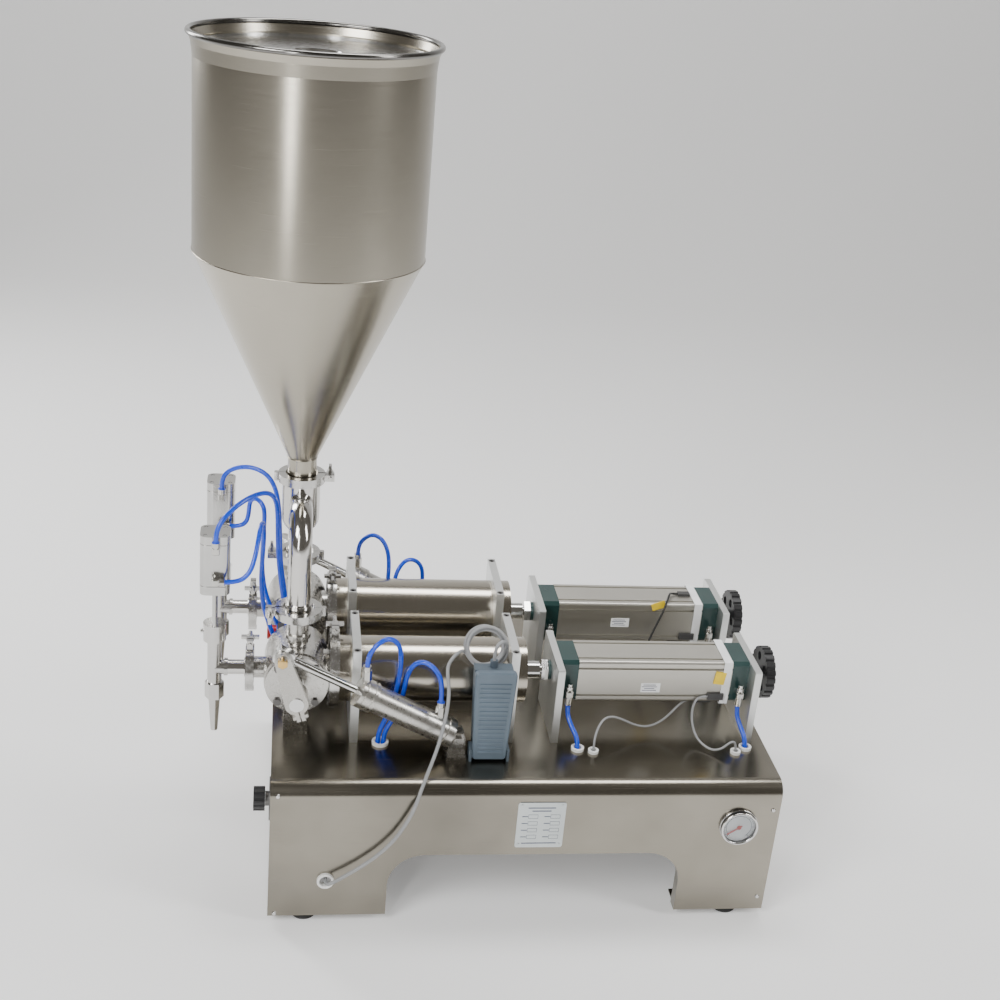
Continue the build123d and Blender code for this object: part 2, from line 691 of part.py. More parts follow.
# ---- sanitary clamps, outlets and nozzles --------------------------------------------------
def sanitary_clamp(radius, width, bolt_length):
    """Two-piece clamp about the Z axis, with its hinge at -X and its bolt at +X."""
    band = Cylinder(radius + 7, width) - Cylinder(radius - 5, width + 2)
    band -= Cylinder(radius + 0.2, 2 * lip_thickness + 0.4)
    band -= Pos(radius, 0, 0) * Box(30, 3, width + 2)
    band -= Pos(-radius, 0, 0) * Box(30, 1, width + 2)
    solids = list(band.solids())
    bolt_x = radius + 15
    for s in (-1, 1):
        lug = Pos(radius + 12, s * 5.5, 0) * Box(20, 8, width - 4)
        lug -= Pos(bolt_x, 0, 0) * Rot(90, 0, 0) * Cylinder(3.6, 40)
        solids.append(lug - Cylinder(radius + 7, width + 2))
    bolt = Pos(bolt_x, bolt_length / 2 - 12, 0) * Rot(90, 0, 0) * Cylinder(3.5, bolt_length)
    wing = Pos(bolt_x, 14.5, 0) * Rot(90, 0, 0) * Cylinder(6.5, 10)
    wing += Pos(bolt_x, 18, 0) * Box(5, 8, 30)
    solids.append(bolt + wing)
    solids.append(Pos(-radius - 9.5, 0, 0) * Cylinder(4.5, width + 1))
    return group(solids)


def clamps():
    small = sanitary_clamp(lip_radius, 14, 46)
    big = sanitary_clamp(big_lip_radius, 16, 52)
    pieces = [Pos(valve_x, 0, hopper_clamp_z) * small]
    for _, side in HEADS:
        top = Pos(valve_x, -head_y, top_clamp_z) * Rot(0, 0, 180) * small
        outlet = Pos(base_front + outlet_clamp_x, -head_y, axis_z) * Rot(0, -90, 0) * small
        inlet = Pos(base_front + big_clamp_x, -head_y, axis_z) * Rot(0, -90, 0) * big
        pieces += [mirrored(shape, side) for shape in (top, outlet, inlet)]
    return group(pieces)


def outlet_pipe():
    lip_x = base_front + outlet_clamp_x
    end_x = nozzle_x + tee_reach
    pipe = along_x(lip_radius, lip_x - lip_thickness, lip_x, -head_y, axis_z)
    pipe += along_x(outlet_pipe_radius, end_x, lip_x, -head_y, axis_z)
    pipe += along_x(outlet_pipe_radius + 4, lip_x - 9, lip_x, -head_y, axis_z)
    return pipe - along_x(outlet_pipe_radius - pipe_wall, end_x - 1, lip_x + 1, -head_y, axis_z)


def nozzle_body():
    x, y = nozzle_x, -head_y
    body = along_z(nozzle_tube_radius, nut_top_z, collar_bottom_z, x, y)
    body += along_z(collar_radius, collar_bottom_z, collar_top_z, x, y)
    body += along_x(outlet_pipe_radius, x, x + tee_reach, y, axis_z)
    body += along_x(outlet_pipe_radius + 2.5, x + tee_reach - 6, x + tee_reach, y, axis_z)
    body -= along_z(nozzle_bore, nut_top_z - 1, collar_bottom_z + 8, x, y)
    body -= along_x(nozzle_bore, x, x + tee_reach + 1, y, axis_z)
    body -= along_z(plunger_radius + running, collar_bottom_z, collar_top_z + 1, x, y)
    for s in (-1, 1):
        body -= along_z(4.0, collar_top_z - 12, collar_top_z + 1, x, y + s * 13)
    screw = along_x(3.5, x - collar_radius - 4, x - collar_radius + 3, y, (collar_bottom_z + collar_top_z) / 2)
    return body + screw


def nozzle_tip():
    x, y = nozzle_x, -head_y
    nut = Pos(x, y, (nut_top_z + nut_bottom_z) / 2) * hexagon(16, nut_top_z - nut_bottom_z)
    tip = turned([(0, tip_z), (6, tip_z), (10, nut_bottom_z), (0, nut_bottom_z)], x, y)
    hollow = turned([(0, tip_z - 1), (tip_bore, tip_z - 1), (tip_bore, tip_z + 20),
                     (8, nut_bottom_z - 4), (nozzle_bore, nut_top_z + 1), (0, nut_top_z + 1)], x, y)
    return nut + tip - hollow


def nozzle_cylinder():
    x, y = nozzle_x, -head_y
    half = nozzle_cylinder_side / 2
    z0, z1 = nozzle_cylinder_bottom_z, nozzle_cylinder_top_z
    body = block(x - half, x + half, y - half, y + half, z0, z1)
    body = fillet(body.edges().filter_by(Axis.Z), 11.0)
    body -= along_z(nozzle_bore_radius, z0 + 16, z1 - 14, x, y)
    body -= along_z(plunger_radius + running, z0 - 1, z0 + 17, x, y)
    for level in (z0 + 15, z1 - 15):
        body -= body_groove(x, y, half, level)
    for sx in (-1, 1):
        for sy in (-1, 1):
            body -= along_z(3.4, z1 - 4, z1 + 1, x + sx * 15.5, y + sy * 15.5)
            body += along_z(2.8, z1 - 4, z1 - 0.5, x + sx * 15.5, y + sy * 15.5)
    for s in (-1, 1):
        body += along_z(4.0, collar_top_z - 12, z0, x, y + s * 13)
    return body


def body_groove(x, y, half, level):
    """A thin parting line round the nozzle cylinder."""
    outer = block(x - half - 1, x + half + 1, y - half - 1, y + half + 1, level, level + 1.2)
    core = block(x - half + 1, x + half - 1, y - half + 1, y + half - 1, level - 1, level + 3)
    return outer - fillet(core.edges().filter_by(Axis.Z), 10.0)


def nozzle_plunger():
    x, y = nozzle_x, -head_y
    piston_z = nozzle_cylinder_bottom_z + 28
    rod = along_z(plunger_radius, tip_z + 5, piston_z, x, y)
    return rod + along_z(nozzle_bore_radius - running, piston_z, piston_z + 12, x, y)


# ---- hopper, lid and manifold --------------------------------------------------------------
def hopper():
    """Rolled barrel with its flared, beaded rim, welded on the cone with its neck and ferrule."""
    r, n, w = hopper_radius, hopper_neck_radius, hopper_wall
    flare_z = hopper_rim_z - hopper_flare_height
    bead_z = hopper_rim_z - rim_bead
    middle_r, middle_z = r + hopper_flare * 0.3, flare_z + hopper_flare_height * 0.5
    cone = turned([(n - w, hopper_clamp_z), (lip_radius, hopper_clamp_z),
                   (lip_radius, hopper_clamp_z + lip_thickness), (n, hopper_clamp_z + lip_thickness),
                   (n, hopper_neck_z), (r, hopper_joint_z), (r - w, hopper_joint_z), (n - w, hopper_neck_z + 1)],
                  valve_x, 0)
    barrel = turned([(r, hopper_joint_z), (r, flare_z), (middle_r, middle_z), (r + hopper_flare, bead_z),
                     (r + hopper_flare - w, bead_z), (middle_r - w, middle_z), (r - w, flare_z),
                     (r - w, hopper_joint_z)], valve_x, 0)
    for i in range(3):
        turn = 2 * pi * i / 3
        lug_r = r - w - 3
        barrel += Pos(valve_x + lug_r * cos(turn), lug_r * sin(turn), lid_z() - 3) * Box(8, 8, 6)
    return group([barrel + Pos(valve_x, 0, bead_z) * Torus(r + hopper_flare - 1, rim_bead), cone])


def lid_z():
    return hopper_rim_z - lid_drop


def hopper_lid():
    """Loose flat lid on three lugs inside the rim, with a dished grip in its middle."""
    r = hopper_radius - hopper_wall - lid_gap
    z, t = lid_z(), lid_thickness
    outline = [(0, z - 11), (34, z - 11), (42, z), (r, z), (r, z + t + 3), (r - t, z + t + 3), (r - t, z + t),
               (40, z + t), (33, z - 11 + t), (0, z - 11 + t)]
    lid = turned(outline, valve_x, 0)
    grip = Pos(valve_x, 0, z - 4) * Box(74, 16, 3)
    return lid + fillet(grip.edges().filter_by(Axis.Z), 4)


def manifold_solid(shrink):
    x, z = valve_x, manifold_pipe_z
    solid = along_z(manifold_body_radius - shrink, z - 34, hopper_clamp_z - lip_thickness - 6, x, 0)
    solid += Pos(x, 0, z - 34) * Sphere(manifold_body_radius - shrink)
    for side in (-1, 1):
        turn_y = side * (head_y - elbow_radius)
        centre_z = z - elbow_radius
        solid += along_y(manifold_leg_radius - shrink, 0, turn_y, x, z)
        ring = Pos(x, turn_y, centre_z) * Rot(0, 90, 0) * Torus(elbow_radius, manifold_leg_radius - shrink)
        solid += ring & block(x - 60, x + 60, turn_y, turn_y + side * 120, centre_z, centre_z + 120)
        solid += along_z(manifold_leg_radius - shrink, top_clamp_z, centre_z, x, side * head_y)
    return solid


def manifold():
    x = valve_x
    shell = manifold_solid(0)
    shell += along_z(hopper_neck_radius, hopper_clamp_z - 12, hopper_clamp_z, x, 0)
    shell += along_z(lip_radius, hopper_clamp_z - lip_thickness, hopper_clamp_z, x, 0)
    for side in (-1, 1):
        shell += along_z(lip_radius, top_clamp_z, top_clamp_z + lip_thickness, x, side * head_y)
        shell += along_z(manifold_leg_radius + 3, top_clamp_z, top_clamp_z + 16, x, side * head_y)
    shell -= manifold_solid(pipe_wall)
    shell -= along_z(hopper_neck_radius - hopper_wall, hopper_clamp_z - 30, hopper_clamp_z + 1, x, 0)
    for side in (-1, 1):
        shell -= along_z(manifold_leg_radius - pipe_wall, top_clamp_z - 1, top_clamp_z + 20, x, side * head_y)
    return shell


# ---- foot pedal ----------------------------------------------------------------------------
PEDAL_X = base_front + 358.0
pedal_height = 166.0
pedal_bottom_width = 56.0
pedal_top_width = 70.0
pedal_front_y = -236.0
treadle_thickness = 11.0
pedal_back_y = -186.0
pedal_gap = 2.0
pedal_wedge = 16.0
pedal_hinge_y = pedal_front_y + treadle_thickness / 2
pedal_hinge_z = base_top_z + 12.0
hinge_pin_radius = 2.5
gland_height = 12.0


def pedal_outline(margin):
    low = pedal_bottom_width / 2 - margin
    high = pedal_top_width / 2 - margin
    return make_face(Polyline((-low, margin), (low, margin), (high, pedal_height - margin),
                              (-high, pedal_height - margin), close=True))


def pedal_base():
    """Wedge body of the foot switch, standing on its end, with hinge ears and pin."""
    body = Pos(PEDAL_X, pedal_back_y, base_top_z - 3.0) * Rot(90, 0, 0) * extrude(pedal_outline(3.0), 60)
    low_y = pedal_front_y + treadle_thickness + pedal_gap
    top_z = base_top_z + pedal_height
    side = make_face(Polyline((pedal_back_y + 5, base_top_z - 5), (low_y, base_top_z - 5), (low_y, base_top_z),
                              (low_y + pedal_wedge, top_z), (pedal_back_y + 5, top_z), close=True))
    body &= Pos(PEDAL_X, 0, 0) * extrude(Plane.YZ * side, 60, both=True)
    reach = pedal_bottom_width / 2 + 1.5
    for s in (-1, 1):
        body += block(PEDAL_X + s * (reach - 4), PEDAL_X + s * (reach + 4), low_y, low_y + 16,
                      base_top_z, pedal_hinge_z + 10)
        body += block(PEDAL_X + s * reach, PEDAL_X + s * (reach + 4), pedal_front_y + 1, low_y + 10,
                      base_top_z, pedal_hinge_z + 10)
    body += along_x(hinge_pin_radius, PEDAL_X - reach - 4, PEDAL_X + reach + 4, pedal_hinge_y, pedal_hinge_z)
    gland_z = base_top_z + pedal_height - 6
    return body + along_z(6.5, gland_z - 1, gland_z + gland_height, PEDAL_X, -196)


def treadle():
    plate = extrude(pedal_outline(0.0), treadle_thickness)
    plate = Pos(PEDAL_X, pedal_front_y + treadle_thickness, base_top_z + 4.0) * Rot(90, 0, 0) * plate
    plate = fillet(plate.edges().filter_by(Axis.Y), 7.0)
    plate = chamfer(plate.faces().sort_by(Axis.Y)[0].edges(), 2.0)
    return plate - along_x(hinge_pin_radius + running, PEDAL_X - 60, PEDAL_X + 60, pedal_hinge_y, pedal_hinge_z)


# ---- air fittings, switches, valves inside the base ----------------------------------------
def elbow_fitting(start, outward, outlet, reach=10.0, drop=14.0):
    """Push-in elbow: a threaded leg along outward, a rounded corner and a tube socket along outlet."""
    corner = tuple(s + o * reach for s, o in zip(start, outward))
    leg_part = Plane(tuple(start), z_dir=outward) * extrude(Circle(6.0), reach)
    socket = Plane(corner, z_dir=outlet) * extrude(Circle(6.6), drop)
    knuckle = Box(13.0, 13.0, 13.0)
    return leg_part + socket + Pos(*corner) * fillet(knuckle.edges(), 2.5)


def port_fitting(port):
    """Upright push-in connector seated on the slanting cylinder's round side."""
    x, y, z = port
    fitting = Pos(x, y, z - 4) * extrude(RegularPolygon(8.0, 6), tilt_fitting - 4)
    fitting += along_z(6.6, z - 8, z + tilt_fitting, x, y)
    fitting -= along_rod(along_x(tilt_head_radius, tilt_head_start, tilt_head_start + tilt_head_length, 0, 0))
    return fitting - along_rod(along_x(tilt_radius, tilt_head_start, tilt_barrel_end, 0, 0))


NOZZLE_FITTINGS = ((604.0, (0, 0, 1)), (548.0, (1, 0, 0)))
FITTING_SIDE_Y = -head_y - profile_side / 2
FRONT_CAP_X = base_front + air_plate_front + air_plate_thickness + cap_length / 2
REAR_CAP_X = base_front + air_plate_rear - cap_length / 2
tilt_fitting = 24.0


def tilt_port(distance):
    """Top of the slanting cylinder at a distance along its line."""
    head = distance < tilt_head_start + tilt_head_length
    rise = (tilt_head_radius if head else tilt_radius) / cos(radians(rod_slope))
    return (pin_x + distance * cos(radians(rod_slope)), -rod_plane,
            pin_z - distance * sin(radians(rod_slope)) + rise)


TILT_PORTS = (tilt_port(tilt_head_start + tilt_head_length / 2), tilt_port(tilt_barrel_end - 9))


def tube_fittings():
    pieces = []
    near_y = -head_y - nozzle_cylinder_side / 2
    for _, side in HEADS:
        made = [elbow_fitting((nozzle_x + 2, near_y, z), (0, -1, 0), outlet) for z, outlet in NOZZLE_FITTINGS]
        for cap_x in (FRONT_CAP_X, REAR_CAP_X):
            made.append(elbow_fitting((cap_x, FITTING_SIDE_Y, axis_z - 17), (0, -1, 0), (0, 0, -1), 12, 20))
        pieces += [shifted(shape, side) for shape in made]
        pieces += [mirrored(port_fitting(port), side) for port in TILT_PORTS]
    return group(pieces)


SWITCH_X = (REAR_CAP_X - 40.0, REAR_CAP_X - 58.0)
TOP_SWITCH_X = base_front + 745.0
strap_x = REAR_CAP_X - 24.0


def reed_switches():
    """Position switches and their straps on both air cylinders, and one on top of head b's."""
    half = profile_side / 2
    slot_z = axis_z - half + 13
    face = block(SWITCH_X[0] - 14, SWITCH_X[0] + 14, FITTING_SIDE_Y - 5, FITTING_SIDE_Y, slot_z - 6, slot_z + 6)
    under = block(SWITCH_X[1] - 14, SWITCH_X[1] + 14, -head_y - 32, -head_y - 20, axis_z - half - 5, axis_z - half)
    strap = block(strap_x - 7, strap_x + 7, -head_y - half - 1.2, -head_y + half + 1.2,
                  axis_z - half - 1.2, axis_z + half + 1.2)
    strap -= block(strap_x - 8, strap_x + 8, -head_y - half, -head_y + half, axis_z - half, axis_z + half)
    pieces = [shifted(shape, side) for _, side in HEADS for shape in (face, under, strap)]
    top = block(TOP_SWITCH_X, TOP_SWITCH_X + 22, head_y - 6, head_y + 6, axis_z + half, axis_z + half + 5)
    return group(pieces + [top])


def solenoid_bank():
    """Directional valves on a rail under the top sheet, which switch all the air cylinders."""
    top = base_top_z - sheet
    rail = block(base_front + 315, base_front + 515, -22, 22, top - 12, top)
    pieces = [rail]
    for i in range(5):
        x = base_front + 327 + 38 * i
        pieces.append(block(x, x + 30, -30, 30, top - 52, top - 12))
        pieces.append(along_y(13, -66, -30, x + 15, top - 34))
    return group(pieces)


# ---- cords ---------------------------------------------------------------------------------
# Routes run from the fitting to the grommet. Each X is a distance behind the base's front end.
cord_end_z = base_top_z - 12.0
tilt_front_x = TILT_PORTS[0][0] - base_front
tilt_rear_x = TILT_PORTS[1][0] - base_front

VALVE_TUBE_FRONT = [
    (tilt_front_x, -rod_plane, TILT_PORTS[0][2] + tilt_fitting), (tilt_front_x, -rod_plane, 452),
    (162, -203, 470), (178, -196, 480), (195, -187, 472), (205, -179, 450), (207, -173, 422),
    (206, -172, 394), (202, -172, 366), (195, -172.5, 338), (186, -175, 311), (175.4, -180, 290),
    (175.4, -180, cord_end_z)]
VALVE_TUBE_REAR = [
    (tilt_rear_x, -rod_plane, TILT_PORTS[1][2] + tilt_fitting), (tilt_rear_x, -rod_plane, 392),
    (270, -202, 414), (256, -195, 430), (238, -186, 433), (224, -178, 417), (218, -173, 393),
    (215, -171.5, 365), (209, -171.5, 338), (199, -174, 312), (184.6, -180, 290),
    (184.6, -180, cord_end_z)]
NOZZLE_TUBE_UPPER = [
    (-96, -140, 618), (-96, -140, 637), (-84, -131, 658), (-62, -113, 674), (-36, -89, 681),
    (-14, -66, 675), (-3, -48, 653), (0, -36, 620), (1, -29, 580), (3, -26, 537), (8, -25.4, 493),
    (15, -25.4, 449), (21, -25.4, 405), (24, -25.4, 360), (25, -25.4, 315), (25, -25.4, cord_end_z)]
NOZZLE_TUBE_LOWER = [
    (-82, -140, 548), (-60, -140, 548), (-42, -135, 562), (-34, -124, 586), (-30, -106, 608),
    (-27, -85, 622), (-24, -63, 620), (-22, -47, 601), (-22, -39, 572), (-24, -36, 534),
    (-25, -35, 494), (-21, -34.6, 452), (-9, -34.6, 411), (6, -34.6, 371), (18, -34.6, 334),
    (25, -34.6, 300), (25, -34.6, cord_end_z)]
NOZZLE_TUBE_UPPER_FAR = [
    (-96, 72, 618), (-96, 72, 635), (-87, 70, 652), (-67, 65, 663), (-42, 55, 667), (-18, 43, 659),
    (-4, 34, 637), (2, 29.5, 604), (4, 27, 570), (5, 25.4, 534), (8, 25.4, 493), (15, 25.4, 449),
    (21, 25.4, 405), (24, 25.4, 360), (25, 25.4, 315), (25, 25.4, cord_end_z)]
NOZZLE_TUBE_LOWER_FAR = [
    (-82, 72, 548), (-66, 72, 548), (-54, 71, 556), (-50, 69, 571), (-49, 66, 588), (-47.2, 64, 600.1),
    (-42.2, 58.5, 607.5), (-35.5, 51, 610.2), (-28.8, 43.5, 607.5), (-23.8, 38, 600.1), (-22.3, 36.2, 588),
    (-22.5, 36, 572), (-24, 36, 534), (-25, 35, 494), (-21, 34.6, 452), (-9, 34.6, 411), (6, 34.6, 371),
    (18, 34.6, 334), (25, 34.6, 300), (25, 34.6, cord_end_z)]
AIR_TUBE_FRONT = [
    (499, -157, 335), (499, -157, 317), (505, -174, 302), (513, -190, 291), (515, -198, 274),
    (515, -198, cord_end_z)]
AIR_TUBE_REAR = [
    (800, -157, 335), (800, -157, 317), (805, -172, 302), (810, -186, 291), (812, -194, 274),
    (812, -194, cord_end_z)]
SWITCH_LEAD_REAR = [
    (746, -147.5, 346), (733, -147.5, 346), (723, -151, 336), (719, -158, 318), (721, -168, 298),
    (727, -181, 283), (737, -197, 277), (750, -210, 276), (764, -215, 283), (776, -213, 294),
    (786, -209.5, 294), (791, -208, 281), (791, -208, cord_end_z)]
SWITCH_LEAD_FRONT = [
    (728, -132, 330.5), (714, -132, 330.5), (699, -136, 319), (684, -142, 304), (666, -148, 292),
    (645, -152, 286), (622, -154, 291), (600, -156, 303), (580, -161, 313), (563, -170, 315),
    (551, -184, 308), (543, -198, 296), (541, -206, 280), (541, -206, cord_end_z)]
BLACK_LEAD = [
    (670, 30, cord_end_z), (670, 30, 284), (673, 36, 308), (680, 43, 332), (689, 49, 357),
    (699, 53, 382), (708, 57, 404), (715, 66, 420), (722, 82, 424), (728, 97, 419), (735, 106, 413.6),
    (745, 106, 413.6)]
PEDAL_LEAD = [
    (358, -196, 442), (358, -196, 457), (362, -195, 471), (371, -190, 474), (379, -182, 466),
    (381.5, -170.9, 453.7), (381.5, -157.2, 447.3)]
PEDAL_DROP = [
    (312.6, -155.2, 427.6), (300, -157.7, 422.3), (291, -166, 421), (284, -182, 422), (282, -200, 416),
    (284, -217, 402), (283, -231, 380), (278, -243, 353), (271, -256, 326), (261, -273, 303),
    (250, -292, 285), (240, -308, 264), (231, -317, 237), (218, -319, 206), (200, -319.5, 174),
    (176, -319.5, 146), (148, -319.5, 122), (122, -320, 104), (106, -321, 94), (93, -321, 87),
    (93, -296, 87)]
COIL_CENTRE = (base_front + 349.0, -148.0, 443.0)
coil_outer = 40.0
coil_inner = 25.0
coil_width = 20.0
coil_tilt = 25.0


def cord(name, points, diameter):
    """Tube through the points, straight runs joined by the largest arcs the runs allow."""
    points = [Vector(base_front + x, y, z) for x, y, z in points]
    runs = [points[i + 1] - points[i] for i in range(len(points) - 1)]
    radii = []
    for before, after in zip(runs, runs[1:]):
        turn = radians(before.get_angle(after))
        radii.append(0.45 * min(before.length, after.length) / tan(turn / 2))
    path = FilletPolyline(*[tuple(p) for p in points], radius=radii)
    tube = sweep(Plane(path @ 0, z_dir=path % 0) * Circle(diameter / 2), path=path)
    expected = path.length * pi * diameter ** 2 / 4
    longest = max(run.length for run in runs)
    print(f"{name}: length {path.length:.0f}, least radius {min(radii):.1f} = {min(radii) / diameter:.1f} dia,"
          f" longest run {longest:.0f}, volume ratio {tube.volume / expected:.4f}")
    return tube


def pedal_coil():
    """Outer shape of the tied coil of pedal lead, leaning on the near material cylinder."""
    ring = Cylinder(coil_outer, coil_width) - Cylinder(coil_inner, coil_width + 2)
    ring = fillet(ring.edges(), 6.0)
    return Pos(*COIL_CENTRE) * Rot(90 - coil_tilt, 0, 0) * ring


# ---- build every node ----------------------------------------------------------------------
export("base_cover", base_cover())
export("feet", group([foot(x, y) for x, y in foot_places()]))
export("grommets", grommets())
export("nameplate", nameplate())
export("gauge_case", gauge_case())
export("gauge_needle", gauge_needle())
export("air_controls", control_body())
export("regulator_knob", regulator_knob())
export("shutoff_knob", shutoff_knob())
export("solenoid_bank", solenoid_bank())
export("cylinder_saddles", saddles())
export("machine_screws", machine_screws())
export("air_plates", air_plates())
export("air_end_caps", air_end_caps())
export("valve_covers", valve_covers())
export("valve_mounts", valve_mounts())
export("sanitary_clamps", clamps())
export("manifold", manifold())
export("hopper", hopper())
export("hopper_lid", hopper_lid())
export("pedal_base", pedal_base())
export("pedal_treadle", treadle())
export("tube_fittings", tube_fittings())
export("reed_switches", reed_switches())

STATIC_PAIRS = {
    "material_cylinders": material_cylinder, "air_barrels": air_barrel, "valve_bodies": valve_body,
    "valve_cylinders": valve_cylinder, "outlet_pipes": outlet_pipe, "nozzle_bodies": nozzle_body,
    "nozzle_tips": nozzle_tip, "nozzle_cylinders": nozzle_cylinder,
}
MOVING = {
    "piston": piston, "hand_wheel": hand_wheel, "valve_rotor": valve_rotor,
    "valve_crank": crank, "valve_rod": valve_rod, "nozzle_plunger": nozzle_plunger,
}
for node, make in STATIC_PAIRS.items():
    shape = make()
    export(node, group([mirrored(shape, side) for _, side in HEADS]))
for node, make in MOVING.items():
    shape = make()
    for letter, side in HEADS:
        export(f"{node}_{letter}", mirrored(shape, side))

PAIRED_CORDS = {"valve_tube_front": VALVE_TUBE_FRONT, "valve_tube_rear": VALVE_TUBE_REAR}
for node, route in PAIRED_CORDS.items():
    shape = cord(node, route, tube_diameter)
    for letter, side in HEADS:
        export(f"{node}_{letter}", mirrored(shape, side))
export("nozzle_tube_upper_a", cord("nozzle_tube_upper_a", NOZZLE_TUBE_UPPER, tube_diameter))
export("nozzle_tube_lower_a", cord("nozzle_tube_lower_a", NOZZLE_TUBE_LOWER, tube_diameter))
export("nozzle_tube_upper_b", cord("nozzle_tube_upper_b", NOZZLE_TUBE_UPPER_FAR, tube_diameter))
export("nozzle_tube_lower_b", cord("nozzle_tube_lower_b", NOZZLE_TUBE_LOWER_FAR, tube_diameter))
export("air_tube_front_a", cord("air_tube_front", AIR_TUBE_FRONT, tube_diameter))
export("air_tube_rear_a", cord("air_tube_rear", AIR_TUBE_REAR, tube_diameter))
export("switch_lead_rear", cord("switch_lead_rear", SWITCH_LEAD_REAR, lead_diameter))
export("switch_lead_front", cord("switch_lead_front", SWITCH_LEAD_FRONT, lead_diameter))
export("black_lead", cord("black_lead", BLACK_LEAD, lead_diameter))
export("pedal_lead_top", cord("pedal_lead_top", PEDAL_LEAD, pedal_lead_diameter))
export("pedal_lead_drop", cord("pedal_lead_drop", PEDAL_DROP, pedal_lead_diameter))
export("pedal_lead_coil", pedal_coil())
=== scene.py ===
"""Looks of a two-head pneumatic piston filler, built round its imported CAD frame."""
import json
import logging
from dataclasses import dataclass, field
from enum import Enum
from math import cos, pi, radians, sin

import bmesh
import bpy
from mathutils import Matrix, Vector


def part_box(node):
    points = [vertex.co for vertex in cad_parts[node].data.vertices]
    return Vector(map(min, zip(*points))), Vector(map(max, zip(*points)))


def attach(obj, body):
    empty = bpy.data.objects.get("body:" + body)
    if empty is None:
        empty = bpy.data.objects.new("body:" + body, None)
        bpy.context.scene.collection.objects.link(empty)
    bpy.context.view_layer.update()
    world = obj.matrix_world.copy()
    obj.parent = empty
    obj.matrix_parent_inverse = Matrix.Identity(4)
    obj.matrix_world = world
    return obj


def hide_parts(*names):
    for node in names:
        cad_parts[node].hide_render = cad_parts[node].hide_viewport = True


LOG = logging.getLogger("piston_filler")
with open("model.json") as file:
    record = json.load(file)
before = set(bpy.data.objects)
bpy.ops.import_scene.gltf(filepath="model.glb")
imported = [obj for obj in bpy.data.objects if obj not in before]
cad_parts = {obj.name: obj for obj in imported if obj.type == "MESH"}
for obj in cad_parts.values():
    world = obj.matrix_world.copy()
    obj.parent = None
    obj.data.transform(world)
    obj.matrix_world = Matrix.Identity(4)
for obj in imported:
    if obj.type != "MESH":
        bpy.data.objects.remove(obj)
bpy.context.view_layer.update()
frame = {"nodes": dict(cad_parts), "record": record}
NODES = frame["nodes"]
Point = tuple[float, float, float]


def edge(node: str, high: bool, axis: int) -> float:
    """One side of a CAD node's box, as a coordinate in metres."""
    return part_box(node)[1 if high else 0][axis]


FRONT = edge("base_cover", False, 0)
NEAR = edge("base_cover", False, 1)
HEAD_Y = 0.106
AXIS_Z = 0.372
VALVE_X = FRONT + 0.038
SIDES = (("a", -1.0), ("b", 1.0))


class Grain(Enum):
    """Which way a metal's fine scratches run, as pattern stretch along X, Y and Z."""

    ALONG_X = (7.0, 1300.0, 1300.0)
    ALONG_Z = (900.0, 900.0, 8.0)
    AROUND_X = (1500.0, 9.0, 9.0)
    AROUND_Z = (9.0, 9.0, 1300.0)
    EVEN = (160.0, 160.0, 160.0)


class Shader:
    """A new material with its principled shader and short ways to add pattern nodes."""

    def __init__(self, name: str) -> None:
        """Start a material.

        Args:
            name: The material's name.
        """
        self.material = bpy.data.materials.new(name)
        self.material.use_nodes = True
        self.tree = self.material.node_tree
        self.surface = self.tree.nodes["Principled BSDF"]
        self.coordinates = self.tree.nodes.new("ShaderNodeTexCoord")

    def set(self, **values: float | tuple[float, ...]) -> None:
        """Set the shader's own sockets, with underscores for spaces."""
        for key, value in values.items():
            self.surface.inputs[key.replace("_", " ")].default_value = value

    def noise(self, stretch: Point, detail: float = 3.0, roughness: float = 0.55) -> bpy.types.NodeSocket:
        """Noise on Object coordinates.

        Args:
            stretch: How many times a metre the pattern repeats along X, Y and Z.
            detail: Octaves of finer noise.
            roughness: Weight of the finer octaves.

        Returns:
            The noise value's socket.
        """
        mapping = self.tree.nodes.new("ShaderNodeMapping")
        mapping.inputs["Scale"].default_value = stretch
        texture = self.tree.nodes.new("ShaderNodeTexNoise")
        texture.inputs["Scale"].default_value = 1.0
        texture.inputs["Detail"].default_value = detail
        texture.inputs["Roughness"].default_value = roughness
        self.tree.links.new(self.coordinates.outputs["Object"], mapping.inputs["Vector"])
        self.tree.links.new(mapping.outputs["Vector"], texture.inputs["Vector"])
        return texture.outputs["Fac"]

    def blend(self, factor: bpy.types.NodeSocket, dark: Point, light: Point, low: float, high: float) -> None:
        """Colour the surface from dark to light as factor goes from low to high."""
        ramp = self.tree.nodes.new("ShaderNodeValToRGB")
        ramp.color_ramp.elements[0].position, ramp.color_ramp.elements[1].position = low, high
        ramp.color_ramp.elements[0].color = (*dark, 1.0)
        ramp.color_ramp.elements[1].color = (*light, 1.0)
        self.tree.links.new(factor, ramp.inputs["Fac"])
        self.tree.links.new(ramp.outputs["Color"], self.surface.inputs["Base Color"])

    def vary_roughness(self, factor: bpy.types.NodeSocket, low: float, high: float) -> None:
        """Drive roughness between two values from a pattern."""
        span = self.tree.nodes.new("ShaderNodeMapRange")
        span.inputs["From Min"].default_value, span.inputs["From Max"].default_value = 0.3, 0.7
        span.inputs["To Min"].default_value, span.inputs["To Max"].default_value = low, high
        self.tree.links.new(factor, span.inputs["Value"])
        self.tree.links.new(span.outputs["Result"], self.surface.inputs["Roughness"])

    def raise_pattern(self, factor: bpy.types.NodeSocket, strength: float, depth: float) -> None:
        """Add a bump from a pattern, depth in metres."""
        bump = self.tree.nodes.new("ShaderNodeBump")
        bump.inputs["Strength"].default_value = strength
        bump.inputs["Distance"].default_value = depth
        self.tree.links.new(factor, bump.inputs["Height"])
        self.tree.links.new(bump.outputs["Normal"], self.surface.inputs["Normal"])


